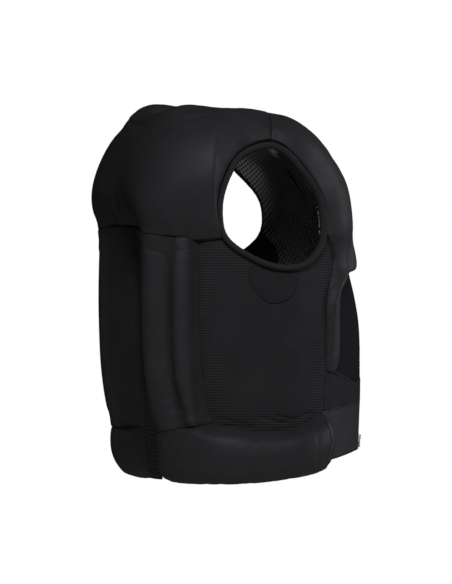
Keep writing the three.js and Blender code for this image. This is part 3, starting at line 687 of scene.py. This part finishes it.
def distance_to_line(points, line):
    """Distance from each point to a line of straight stretches."""
    nearest = np.full(len(points), np.inf)
    for start, end in zip(line[:-1], line[1:]):
        along = end - start
        share = np.clip(((points - start) @ along) / max(along @ along, 1e-12), 0, 1)
        nearest = np.minimum(nearest, np.linalg.norm(points - start - share[:, None] * along, axis=1))
    return nearest


def press(piece, line, depth, width, mirrored=False):
    """Presses a line into a piece by a depth, over a width."""
    if len(line) < 2:
        print("no place for a line on", piece.name)
        return
    path = line * MIRROR if mirrored else line
    bell = np.exp(-((distance_to_line(points_of(piece), path) / width) ** 2))
    bell *= np.clip(outward_share(piece) * 4 + 1.2, 0, 1)
    push_out(piece, -depth * bell)


print("line helpers ready")

# %% [markdown]
# ## Blowing up a cushion
# Each cushion holds an air bladder. Blender's cloth can do the same: the mesh is a closed bag, pressure
# pushes it out, and the points on the seams are pinned. The rest of the cloth is held softly to its shape, so
# that sewn valleys stay. Real cloth hardly grows, so no point may move further than a cap.

# %% Cloth simulation
PRESSURE = 4.0
FRAMES = 20
SOFT_HOLD = 0.22
SLACK = -0.006
SEWN_NEAR = 2.5 * MM
INNER_SIDE = -0.2


def blow_up(piece, distance, cap):
    """Inflates a cushion by a cloth simulation and keeps the result."""
    rest = points_of(piece)
    pins = piece.vertex_groups.new(name="sewn")
    held = (distance < SEWN_NEAR) | (outward_share(piece) < INNER_SIDE)
    pins.add([int(index) for index in np.flatnonzero(held)], 1.0, "REPLACE")
    pins.add([int(index) for index in np.flatnonzero(~held)], SOFT_HOLD, "REPLACE")
    cloth = piece.modifiers.new("air", "CLOTH")
    settings = cloth.settings
    settings.quality = 6
    settings.mass = 0.25
    settings.tension_stiffness = settings.compression_stiffness = 18
    settings.bending_stiffness = 0.6
    settings.use_pressure = True
    settings.uniform_pressure_force = PRESSURE
    settings.shrink_min = SLACK
    settings.vertex_group_mass = pins.name
    settings.pin_stiffness = 1.0
    settings.effector_weights.gravity = 0
    cloth.point_cache.frame_start = 1
    cloth.point_cache.frame_end = FRAMES
    for number in range(1, FRAMES + 1):
        bpy.context.scene.frame_set(number)
    apply_modifiers(piece)
    piece.vertex_groups.clear()
    moved = points_of(piece) - rest
    length = np.linalg.norm(moved, axis=1)
    moved *= np.minimum(1, cap / np.maximum(length, 1e-9))[:, None]
    move_points(piece, rest + moved)
    bpy.context.scene.frame_set(1)
    print("blew up", piece.name, "by", round(1000 * float(length.max()), 1), "mm at most")


print("cloth simulation ready")

# %% [markdown]
# ## Cushions
# The yoke, the two back cushions, the two waist rolls and the two chest cushions are all made the same way:
# the solid's faces are subdivided, the middle is evened out (but not on the waist rolls), the bag is blown
# up, it is subdivided once more, and fine puckers are set along its seams.

# %% Make the cushions
CUSHION_CAP = 3.0 * MM
PUCKER_DEPTH = 0.7 * MM
PUCKER_REACH = 7 * MM
PUCKER_SIZE = 7 * MM
EVEN_REACH = 13 * MM
SHARP_ANGLE = math.radians(50)


def cushion(node, seed, even=0):
    mesh = quad_mesh(node)
    crease_rims(mesh)
    piece = new_piece("soft_" + node, mesh, shell)
    smooth_through(piece, 2)
    distance = rim_distance(piece, node)
    if even:
        even_out(piece, np.clip(distance / EVEN_REACH - 0.15, 0, 1), even)
    blow_up(piece, distance, CUSHION_CAP)
    add_subdivision(piece, 1)
    apply_modifiers(piece)
    close_seams(piece, node)
    pucker(piece, node, PUCKER_DEPTH, PUCKER_REACH, PUCKER_SIZE, seed)
    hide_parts(node)
    piece.data.set_sharp_from_angle(angle=SHARP_ANGLE)
    print(piece.name, "has", len(piece.data.polygons), "faces")
    return piece


yoke = cushion("back_yoke", 1, even=60)
back_tubes = {side: cushion("back_tube_" + side, 2 + number, 16) for number, side in enumerate(SIDES)}
waist_rolls = {side: cushion("waist_roll_" + side, 4 + number) for number, side in enumerate(SIDES)}
chests = {side: cushion("front_panel_" + side, 6 + number, 10) for number, side in enumerate(SIDES)}

# %% [markdown]
# ## The seam below the yoke
# The yoke and the back cushions bulge by different amounts where they are sewn together, and one would
# overhang the other. Sewn cloth runs on smoothly, so both sides are measured by level rays and each is moved
# half of the way to the other, less and less with the distance from the seam.

# %% Even out the yoke's lower seam
YOKE_SEAM_X = np.array([0, 40, 90, 138]) * MM
YOKE_SEAM_Z = np.array([-156, -154, -162, -172]) * MM
SEAM_SIDE = 9 * MM
SEAM_FADE = 30 * MM
SEAM_ANGLES = np.radians(np.linspace(6, 41, 70))
WIDEST_ANGLE = 1.4
STEP_CAP = 8 * MM
STEP_BLUR = np.ones(9) / 9
BACK_DEPTH = 153 * MM
RAY_START = 0.6


def reach_at(piece, angles, heights):
    """How far a piece stands out from the body's axis at each angle and height."""
    tree = cloth_tree(piece)
    found = []
    for angle, height in zip(angles, heights):
        way = Vector((-math.sin(angle), math.cos(angle), 0))
        start = Vector((0, AXIS_Y, height)) + RAY_START * way
        away = tree.ray_cast(start, -way)[3]
        found.append(np.nan if away is None else RAY_START - away)
    return np.array(found)


def seam_height(angles):
    """Height of the yoke's lower seam at angles from the middle of the back."""
    return np.interp(BACK_DEPTH * np.tan(angles), YOKE_SEAM_X, YOKE_SEAM_Z)


def join_smoothly(upper, lowers):
    """Takes out the step between the yoke and the cushions below it."""
    heights = seam_height(SEAM_ANGLES)
    above = reach_at(upper, SEAM_ANGLES, heights + SEAM_SIDE)
    below = reach_at(lowers[0], SEAM_ANGLES, heights - SEAM_SIDE)
    step = np.nan_to_num(below - above)
    step = np.convolve(np.clip(step, -STEP_CAP, STEP_CAP), STEP_BLUR, "same")
    for piece, share in [(upper, 0.5)] + [(lower, -0.5) for lower in lowers]:
        points = points_of(piece)
        sideways, backwards = points[:, 0], points[:, 1] - AXIS_Y
        angle = np.arctan2(np.abs(sideways), backwards)
        from_seam = points[:, 2] - seam_height(np.minimum(angle, WIDEST_ANGLE))
        fade = np.exp(-((from_seam / SEAM_FADE) ** 2)) * outer_side(piece)
        shift = share * np.interp(angle, SEAM_ANGLES, step, 0, 0) * fade
        points[:, 0] += shift * np.sign(sideways) * np.sin(angle)
        points[:, 1] += shift * np.cos(angle)
        move_points(piece, points)
    print("steps of up to", round(1000 * float(np.abs(step).max()), 1), "mm taken out below the yoke")


join_smoothly(yoke, list(back_tubes.values()))

# %% [markdown]
# ## The valley over the spine
# Seen from the photograph's side, the far back cushion shows a lit crown and then a dark flank that drops
# steeply into the valley over the spine. The three layers of cushions share that form, so one table of
# distances from the middle gives how far the cloth settles inwards, and another fades it out with height.

# %% Settle the back
SETTLE_X = np.array([0, 9, 25, 43, 60, 80, 104, 120]) * MM
SETTLE_Y = np.array([0, 0, 5, -5, -11, -13, -3, 0]) * MM
SETTLE_BLUR = np.hanning(25)
SETTLE_Z = np.array([-535, -470, -410, -170, -100]) * MM
SETTLE_SHARE = np.array([0.4, 0.6, 1.0, 1.0, 0.0])

fine_x = np.linspace(-160, 160, 321) * MM
fine_y = np.convolve(np.interp(np.abs(fine_x), SETTLE_X, SETTLE_Y), SETTLE_BLUR / SETTLE_BLUR.sum(), "same")


def settle_back(piece):
    points = points_of(piece)
    depth = np.interp(points[:, 0], fine_x, fine_y)
    share = np.interp(points[:, 2], SETTLE_Z, SETTLE_SHARE)
    behind = outer_side(piece) * (points[:, 1] > 0)
    points[:, 1] += depth * share * behind
    move_points(piece, points)


for piece in (yoke, *back_tubes.values(), *waist_rolls.values()):
    settle_back(piece)
print("settled the cushions of the back")

# %% [markdown]
# ## Folds that the photograph shows on the cushions
# The yoke has a rolled collar with a crease and a shallow hollow below it. Each back cushion has a raised
# lobe with a valley beside it, and the chest cushion is drawn in at its lower end by the zip. Fine gathers
# lie under the seam at the top of each waist roll, and a seam runs across the roll near its front end.

# %% Press the folds
COLLAR_CREASE = [(116, 127), (130, 124.5), (143, 123), (167, 120.5), (193, 118), (207, 116)]
COLLAR_HOLLOW = [(138, 131), (150, 130), (164, 129)]
CHEST_END = [(352, 250), (352, 270)]
TUBE_RIDGE = [(186, 240), (186, 300), (187, 360), (190, 420)]
TUBE_VALLEY = [(170, 246), (170, 300), (171, 360), (174, 408)]
ROLL_SEAM = [(316, 424), (318, 438), (319, 452), (318, 466)]
GATHERS = [
    [(162, 428.5), (176, 428.5), (189, 427.5)],
    [(163, 431.5), (174, 431.5), (186, 430.5)],
    [(163, 434.5), (173, 434.5), (181, 434)],
    [(164, 437.5), (171, 437.5), (178, 437)],
]

yokes = {side: yoke for side in SIDES}
folds = [
    (yokes, COLLAR_CREASE, 1.6 * MM, 3.6 * MM),
    (yokes, COLLAR_HOLLOW, 2.0 * MM, 14 * MM),
    (chests, CHEST_END, 5 * MM, 16 * MM),
    (back_tubes, TUBE_RIDGE, -4.5 * MM, 11 * MM),
    (back_tubes, TUBE_VALLEY, 1.2 * MM, 8 * MM),
    (waist_rolls, ROLL_SEAM, 1.3 * MM, 2.2 * MM),
]
folds += [(waist_rolls, gather, 0.6 * MM, 1.5 * MM) for gather in GATHERS]
fold_lines = [photo_line(pieces["right"], pixels) for pieces, pixels, _, _ in folds]
for mirrored, side in enumerate(SIDES):
    for line, (pieces, _, depth, width) in zip(fold_lines, folds):
        press(pieces[side], line, depth, width, mirrored)
print("pressed", len(folds), "folds into the cushions of each side")

# %% [markdown]
# ## Sheets
# The panels between the cushions are single layers of cloth. Their outer faces are taken from the solid, the
# inner ones and the rim are dropped, and the cloth gets its thickness back at the end with Solidify. A lining
# keeps its inner faces instead. For every sheet the rectangle that it is cut from is worked out, measured on
# the panel itself: its way round the body, and its height.

# %% Sheet helpers
SEAM_REACH = 2.0 * MM
OUTER_FACE = 0.3
SHOULDER_Z = -60 * MM
SHOULDER_LIFT = Vector((0, 0, 0.6))
TOP_EDGE = 0.6


def sheet_mesh(node, inside=False, reach=SEAM_REACH, top_reach=SEAM_REACH):
    """The outer faces of a thin solid, or its inner ones, as an open bmesh that reaches into its seams."""
    mesh = quad_mesh(node)
    sign = -1 if inside else 1
    dropped = []
    for face in mesh.faces:
        centre = face.calc_center_median()
        away = Vector((centre.x, centre.y - AXIS_Y, 0)).normalized()
        if centre.z > SHOULDER_Z:
            away = (away + SHOULDER_LIFT).normalized()
        if sign * face.normal.dot(away) < OUTER_FACE:
            dropped.append(face)
    bmesh.ops.delete(mesh, geom=dropped, context="FACES")
    widen(mesh, reach, top_reach)
    return mesh


def widen(mesh, reach, top_reach):
    """Pushes the border of an open sheet outwards, into its seams, and further along its top."""
    ways = {}
    for edge in mesh.edges:
        if not edge.is_boundary:
            continue
        start, end = (vertex.co for vertex in edge.verts)
        along = (end - start).normalized()
        out = (start + end) / 2 - edge.link_faces[0].calc_center_median()
        out -= out.dot(along) * along
        for vertex in edge.verts:
            ways[vertex] = ways.get(vertex, Vector()) + out.normalized()
    for vertex, out in ways.items():
        out.normalize()
        vertex.co += (top_reach if out.z > TOP_EDGE else reach) * out


def solidify(piece, thickness):
    """Gives a sheet its thickness, inwards from its face."""
    step = piece.modifiers.new("thickness", "SOLIDIFY")
    step.thickness = thickness
    step.offset = -1.0
    apply_modifiers(piece)


def cloth_area(piece):
    return sum(face.area for face in piece.data.polygons)


def declare_sheet(piece, node, area):
    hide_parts(node)
    print(piece.name, "has", len(piece.data.polygons), "faces and", round(area, 4), "square metres of cloth")


def cut_of(piece, area):
    """Width and length of the rectangle that a sheet is cut from: its height, and its way round the body."""
    points = points_of(piece)
    sideways, backwards = points[:, 0], points[:, 1] - AXIS_Y
    middle = math.atan2(sideways.mean(), backwards.mean())
    angle = (np.arctan2(sideways, backwards) - middle + math.pi) % (2 * math.pi)
    radius = np.hypot(sideways, backwards)
    width = float(np.ptp(angle) * radius.mean())
    height = float(np.ptp(points[:, 2]))
    return (width, max(height, area / width))


print("sheet helpers ready")

# %% [markdown]
# ## The ribbed sides
# The knit's level ribs are real relief. The sheet is cut by level planes, four to each rib, and every ring of
# points moves in or out by a wave of its height. The ribs are strongest near the sewn edges and flatten in
# the middle, where the cloth is pulled tight. Slack cloth gathers into long level wrinkles above the waist
# roll, and two faint upright folds run down to it.

# %% Side panels
RIB_HEIGHT = 0.32 * MM
RIB_CUTS = 4
RIB_LEAST, RIB_FADE = 0.15, 24 * MM
KNIT_THICKNESS = 1.1 * MM
KNIT_TOP_REACH = 6 * MM
WRINKLE = 1.8 * MM, 2.6 * MM
PULL = 0.8 * MM, 5 * MM
SIDE_FOLDS = [
    ([(209, 415), (222, 419), (246, 424)], *WRINKLE),
    ([(208, 421), (226, 425.5), (254, 427)], *WRINKLE),
    ([(262, 417), (276, 421.5), (290, 423)], *WRINKLE),
    ([(278, 416), (293, 420), (310, 413)], *WRINKLE),
    ([(268, 372), (270, 395), (268, 412)], *PULL),
    ([(246, 360), (250, 385), (252, 408)], *PULL),
]


def cut_level(mesh, spacing):
    """Adds level rings of points to a mesh."""
    low = min(vertex.co.z for vertex in mesh.verts)
    high = max(vertex.co.z for vertex in mesh.verts)
    for number in range(math.ceil(low / spacing), math.floor(high / spacing) + 1):
        geometry = mesh.verts[:] + mesh.edges[:] + mesh.faces[:]
        bmesh.ops.bisect_plane(
            mesh, geom=geometry, dist=0.01 * MM, plane_co=(0, 0, number * spacing), plane_no=(0, 0, 1),
        )


def side_panel(side, folds):
    node = "side_panel_" + side
    base = new_piece("base_" + node, sheet_mesh(node, top_reach=KNIT_TOP_REACH), knit)
    smooth_through(base, 2)
    mesh = bmesh.new()
    mesh.from_mesh(base.data)
    bpy.data.objects.remove(base)
    cut_level(mesh, RIB_PITCH / RIB_CUTS)
    piece = new_piece("soft_" + node, mesh, knit)
    area = cloth_area(piece)
    cut = cut_of(piece, area)
    distance, _ = seam_places(piece, node)
    for line, depth, width in folds:
        press(piece, line, depth, width, side == "left")
    slack = RIB_LEAST + (1 - RIB_LEAST) * np.exp(-distance / RIB_FADE)
    wave = np.sin(points_of(piece)[:, 2] * 2 * math.pi / RIB_PITCH)
    push_out(piece, RIB_HEIGHT * wave * slack)
    store(piece, "seam", distance)
    solidify(piece, KNIT_THICKNESS)
    declare_sheet(piece, node, area)
    return piece


knit_probe = nodes["side_panel_right"]
side_folds = [(photo_line(knit_probe, pixels), depth, width) for pixels, depth, width in SIDE_FOLDS]
side_panels = {side: side_panel(side, side_folds) for side in SIDES}

# %% [markdown]
# ## The plain sheets
# The underarm patches, the flat panels beside the zip, the net over the spine and the linings need no ribs.
# Each is subdivided and given its thickness. The outer ones are lightly rippled along their seams, and the
# linings are lifted off the cushions. The net over the spine bulges out lower down.

# %% Plain sheets
PANEL_THICKNESS, PATCH_THICKNESS = 1.4 * MM, 0.9 * MM
LINING_THICKNESS, SPINE_THICKNESS = 1.6 * MM, 1.8 * MM
RIPPLE_DEPTH, PANEL_RIPPLE_DEPTH = 0.3 * MM, 0.5 * MM
RIPPLE_SIZE = 9 * MM
LINING_LIFT = 1.6 * MM
SPINE_BULGE = 11 * MM
SPINE_BULGE_TOP = -290 * MM
SPINE_BULGE_LENGTH = 130 * MM


def plain_sheet(
    node, material, thickness,
    levels=3, depth=RIPPLE_DEPTH, inside=False, seed=0, reach=SEAM_REACH,
):
    piece = new_piece("soft_" + node, sheet_mesh(node, inside, reach), material)
    smooth_through(piece, levels)
    area = cloth_area(piece)
    cut = cut_of(piece, area)
    if inside:
        push_out(piece, LINING_LIFT)
    else:
        pucker(piece, node, depth, RIPPLE_SIZE, RIPPLE_SIZE, seed)
    solidify(piece, thickness)
    declare_sheet(piece, node, area)
    return piece


plain = {}
for number, side in enumerate(SIDES):
    for part, cloth in (("front_inset_", flat_cloth), ("front_mid_", patch_cloth), ("front_lower_", shell)):
        plain[part + side] = plain_sheet(
            part + side, cloth, PANEL_THICKNESS,
            depth=PANEL_RIPPLE_DEPTH, seed=11 + number,
        )
    plain_sheet("underarm_patch_" + side, patch_cloth, PATCH_THICKNESS, seed=14 + number)
    plain_sheet("front_lining_" + side, net, LINING_THICKNESS, inside=True)

spine = plain_sheet("spine_mesh", shaded_spine_net, SPINE_THICKNESS)
points = points_of(spine)
bulge = np.clip((SPINE_BULGE_TOP - points[:, 2]) / SPINE_BULGE_LENGTH, 0, 1)
points[:, 1] += SPINE_BULGE * bulge * bulge * (3 - 2 * bulge)
move_points(spine, points)
plain_sheet("yoke_lining", net, LINING_THICKNESS, inside=True)

# %% [markdown]
# ## Armhole bindings
# A rolled elastic band finishes each armhole. The solid's coarse ring subdivides into a round band, and small
# gathers all the way round show that the elastic pulls it in.

# %% Bindings
BINDING_SWELL = 1.1 * MM
BINDING_LUMP, BINDING_LUMP_SIZE = 0.35 * MM, 5 * MM


def binding(side, seed):
    node = "armhole_binding_" + side
    piece = new_piece("soft_" + node, quad_mesh(node), binding_cloth)
    smooth_through(piece, 3)
    push_out(piece, BINDING_SWELL + BINDING_LUMP * lumps(points_of(piece), BINDING_LUMP_SIZE, seed))
    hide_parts(node)
    print(piece.name, "has", len(piece.data.polygons), "faces")


for number, side in enumerate(SIDES):
    binding(side, 17 + number)

# %% [markdown]
# ## Stitches and piping
# A row of stitches runs beside the border of each sewn panel. A stitch is a small stretched ball, copied
# along the border and laid on the finished cloth. A thin cord, the piping, is sewn into the curved edge of
# the inset and onto the front end of the waist roll. The inset's cord follows the border of its sheet. The
# roll's cord follows the end of the roll as the photograph shows it: on each row of pixels the rays step
# inwards until they meet the roll. The piping is a ring of points that is swept along its line.

# %% Stitches and piping
STITCH_PITCH = 4.2 * MM
STITCH_LENGTH = 3.0 * MM
STITCH_WIDTH = 0.55 * MM
STITCH_INSET = 3.4 * MM
STITCH_RISE = 0.1 * MM
LOOK_AHEAD = 0.5 * MM
STITCHED = ("side_panel_", "front_inset_", "front_mid_", "front_lower_")
INSET_PIPING = 1.3 * MM
ROLL_PIPING = 1.5 * MM
PIPING_SIDES = 8
PIPING_STEP = 2 * MM
PIPING_RISE = 0.3
ZIP_REACH = 16 * MM
ROLL_ROWS = range(420, 462, 4)
ROLL_ACROSS = range(348, 300, -1)
ROLL_INSET = 3


def border_loops(mesh):
    """The border of an open sheet, as loops of points in order."""
    left_over = {edge for edge in mesh.edges if edge.is_boundary}
    loops = []
    while left_over:
        edge = left_over.pop()
        first, here = edge.verts
        loop = [first.co.copy(), here.co.copy()]
        while here is not first:
            edge = next((link for link in here.link_edges if link in left_over), None)
            if edge is None:
                break
            left_over.discard(edge)
            here = edge.other_vert(here)
            loop.append(here.co.copy())
        loops.append(np.array(loop))
    return loops


def evenly_along(line, spacing):
    """Points at an even spacing along a line, and the line's direction at each."""
    lengths = np.concatenate([[0], np.cumsum(np.linalg.norm(np.diff(line, axis=0), axis=1))])
    places = np.arange(spacing / 2, lengths[-1], spacing)
    spots, ahead = (
        np.stack([np.interp(there, lengths, line[:, axis]) for axis in range(3)], axis=1)
        for there in (places, places + LOOK_AHEAD)
    )
    ways = ahead - spots
    return spots, ways / np.maximum(np.linalg.norm(ways, axis=1), 1e-9)[:, None]


def stitch_places(node, piece):
    """Middle, direction and normal of each stitch beside the border of a sheet."""
    tree = cloth_tree(piece)
    mesh = sheet_mesh(node)
    places = []
    for loop in border_loops(mesh):
        for spot, way in zip(*evenly_along(loop, STITCH_PITCH)):
            normal = tree.find_nearest(Vector(spot))[1]
            across = normal.cross(Vector(way))
            tries = [tree.find_nearest(Vector(spot) + sign * STITCH_INSET * across) for sign in (1, -1)]
            found, normal, _, away = min(tries, key=lambda found: found[3])
            if away < STITCH_INSET / 3:
                places.append((found, Vector(way), normal))
    mesh.free()
    return places


def stitch_row(name, places):
    ball = bmesh.new()
    bmesh.ops.create_uvsphere(ball, u_segments=6, v_segments=4, radius=0.5)
    shape = np.array([vertex.co for vertex in ball.verts])
    shape *= [STITCH_WIDTH, STITCH_WIDTH, STITCH_LENGTH]
    faces = [[vertex.index for vertex in face.verts] for face in ball.faces]
    ball.free()
    points, rows = [], []
    for middle, way, normal in places:
        across = way.cross(normal).normalized()
        turn = np.array([across, normal, way])
        start = len(points) * len(shape)
        points.append(shape @ turn + np.array(middle + STITCH_RISE * normal))
        rows.extend([start + index for index in face] for face in faces)
    piece = listed_piece(name, np.concatenate(points).tolist(), rows, thread)
    print(name, "has", len(places), "stitches")


def inset_edge(node):
    """The border of an inset, without the stretch along the zip."""
    mesh = sheet_mesh(node)
    loop = border_loops(mesh)[0]
    mesh.free()
    kept = np.abs(loop[:, 0]) > ZIP_REACH
    turn = int(np.argmin(kept))
    order = np.roll(np.arange(len(loop) - 1), -turn)
    return loop[:-1][order][kept[:-1][order]]


def roll_edge(roll):
    """A line just inside the front end of a waist roll, as the photograph's camera sees it."""
    rows = [photo_line(roll, [(across, down) for across in ROLL_ACROSS]) for down in ROLL_ROWS]
    return np.array([row[ROLL_INSET] for row in rows if len(row) > ROLL_INSET])


def piping(name, carrier, line, radius, material):
    """A cord along a line on a piece that carries it."""
    tree = cloth_tree(carrier)
    spots, ways = evenly_along(line, PIPING_STEP)
    points, faces = [], []
    for number, (spot, way) in enumerate(zip(spots, ways)):
        seat, normal, _, _ = tree.find_nearest(Vector(spot))
        across = Vector(way).cross(normal).normalized()
        for side in range(PIPING_SIDES):
            angle = 2 * math.pi * side / PIPING_SIDES
            offset = math.cos(angle) * across + (math.sin(angle) + PIPING_RISE) * normal
            points.append(seat + radius * offset)
            if number:
                ring = number * PIPING_SIDES
                here, beside = ring + side, ring + (side + 1) % PIPING_SIDES
                faces.append((here, beside, beside - PIPING_SIDES, here - PIPING_SIDES))
    end = len(points)
    faces.append(tuple(range(PIPING_SIDES)))
    faces.append(tuple(reversed(range(end - PIPING_SIDES, end))))
    piece = listed_piece(name, points, faces, material)
    print(name, "has", len(faces), "faces")


roll_line = roll_edge(waist_rolls["right"])
sewn = {**plain, **{"side_panel_" + side: panel for side, panel in side_panels.items()}}
for side in SIDES:
    node = "front_inset_" + side
    piping("inset_piping_" + side, plain[node], inset_edge(node), INSET_PIPING, shell)
    line = roll_line if side == "right" else roll_line * MIRROR
    # the roll's piping wears the brighter cloth as its painted highlight
    piping("roll_piping_" + side, waist_rolls[side], line, ROLL_PIPING, highlit_trim_cloth)
for side in SIDES:
    stitched = [part + side for part in STITCHED]
    places = [place for node in stitched for place in stitch_places(node, sewn[node])]
    stitch_row("stitches_" + side, places)

# %% [markdown]
# ## Zip
# Two woven tapes carry the teeth. The solid has one bar where the teeth are, so each tooth is made here: a
# small bevelled block, set on the left and the right tape in turn along the bar. The slider and its pull
# keep the shapes of their solids, with their edges rounded off. The pull rides on its own body and swings.

# %% Zip
TOOTH_PITCH = 2.0 * MM
TOOTH_SIZE = Vector((3.4 * MM, 2.4 * MM, 1.25 * MM))
TOOTH_SHIFT = 0.7 * MM
TOOTH_BEVEL = 0.22 * MM
BAR_MIDDLE, BAR_ROW = 0.2 * MM, 1.2 * MM
METAL_BEVEL_ANGLE, METAL_SHARP_ANGLE = math.radians(35), math.radians(40)
SLIDER_BEVEL, PULL_BEVEL = 0.45 * MM, 0.35 * MM
TAPE_REACH = 2.5 * MM
TAPE_THICKNESS = 1.0 * MM


def chain_path():
    """Heights along the middle of the bar of teeth from bottom to top, and the depth of its front at each."""
    points = np.array([vertex.co for vertex in nodes["zip_chain"].data.vertices])
    middle = points[np.abs(points[:, 0]) < BAR_MIDDLE]
    heights = np.unique(np.round(middle[:, 2], 4))
    rows = [middle[np.abs(middle[:, 2] - height) < BAR_ROW] for height in heights]
    return heights, np.array([row[:, 1].min() for row in rows])


def tooth_row():
    heights, front = chain_path()
    mesh = bmesh.new()
    count = int((heights[-1] - heights[0]) / TOOTH_PITCH)
    for number in range(1, 2 * count):
        height = heights[0] + number * TOOTH_PITCH / 2
        side = 1 if number % 2 else -1
        face = float(np.interp(height, heights, front))
        made = bmesh.ops.create_cube(mesh, size=1)["verts"]
        for vertex in made:
            vertex.co = vertex.co * TOOTH_SIZE
            vertex.co += Vector((side * TOOTH_SHIFT, face + TOOTH_SIZE.y / 2, height))
    bmesh.ops.bevel(mesh, geom=mesh.edges[:], offset=TOOTH_BEVEL, segments=1, affect="EDGES")
    piece = new_piece("zip_tooth_row", mesh, teeth_plastic)
    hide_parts("zip_chain")
    print(piece.name, "has", len(piece.data.polygons), "faces")


def hard_piece(node, body, width):
    """A hard solid with its edges rounded off."""
    piece = new_piece("smooth_" + node, quad_mesh(node), plated, body)
    round_off = piece.modifiers.new("edges", "BEVEL")
    round_off.width = width
    round_off.segments = 3
    round_off.limit_method = "ANGLE"
    round_off.angle_limit = METAL_BEVEL_ANGLE
    apply_modifiers(piece)
    piece.data.set_sharp_from_angle(angle=METAL_SHARP_ANGLE)
    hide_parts(node)
    print(piece.name, "has", len(piece.data.polygons), "faces")


tooth_row()
hard_piece("zip_slider", "root", SLIDER_BEVEL)
hard_piece("zip_pull", "zip_pull", PULL_BEVEL)
for side in SIDES:
    plain_sheet(
        "zip_tape_" + side, tape, TAPE_THICKNESS,
        levels=2, depth=0, reach=TAPE_REACH,
    )

# %% [markdown]
# ## Floor and light
# The photograph is a studio shot on white. A white world lights the vest from all round. A soft key light
# above the camera draws the highlights along the crowns of the cushions, and a rim light from the right of
# the picture, a little behind the vest, draws the bright edge of the chest. The floor is pale and lies well
# below the hem, because the vest is held up as if it were worn.

# %% Floor, lights and world
FLOOR_DROP = 0.35
FLOOR_SIZE = 1.3
LIGHT_AIM = Vector((0, 0, -0.25))
KEY_PLACE, KEY_SIZE, KEY_POWER = (2.2, 0.05, 1.6), 0.6, 620
RIM_PLACE, RIM_SIZE, RIM_POWER = (-0.6, 2.4, 0.5), 0.9, 470

floor_mesh = bmesh.new()
bmesh.ops.create_circle(floor_mesh, cap_ends=True, segments=96, radius=FLOOR_SIZE)
floor_finish = Finish("pale_floor", Specular_IOR_Level=0.1)
floor_finish.colour((0.9, 0.9, 0.9), (0.96, 0.96, 0.96), floor_finish.noise(0.8, 2))
floor_finish.rough(0.85 + 0.1 * floor_finish.noise(3, 2))
floor = bpy.data.objects.new("floor", bpy.data.meshes.new("floor"))
floor_mesh.to_mesh(floor.data)
floor_mesh.free()
floor.data.materials.append(floor_finish.material)
floor.location.z = cad_box[0].z - FLOOR_DROP
bpy.context.scene.collection.objects.link(floor)


def soft_light(name, place, size, power):
    """A square light, placed by its way to the camera, to the right and up, that looks at the vest."""
    nearer, right, up = place
    away = nearer * to_camera + right * picture_right + up * picture_up
    light = bpy.data.objects.new(name, bpy.data.lights.new(name, "AREA"))
    light.data.size = size
    light.data.energy = power
    light.location = LIGHT_AIM + away
    light.rotation_mode = "QUATERNION"
    light.rotation_quaternion = (-away).to_track_quat("-Z", "Y")
    bpy.context.scene.collection.objects.link(light)


soft_light("key", KEY_PLACE, KEY_SIZE, KEY_POWER)
soft_light("rim", RIM_PLACE, RIM_SIZE, RIM_POWER)
world = bpy.data.worlds.new("studio")
world.use_nodes = True
world.node_tree.nodes["Background"].inputs["Color"].default_value = (1, 1, 1, 1)
world.node_tree.nodes["Background"].inputs["Strength"].default_value = 1.0
bpy.context.scene.world = world
bpy.context.scene.view_settings.view_transform = "Standard"
print("floor, two lights and a white world added")
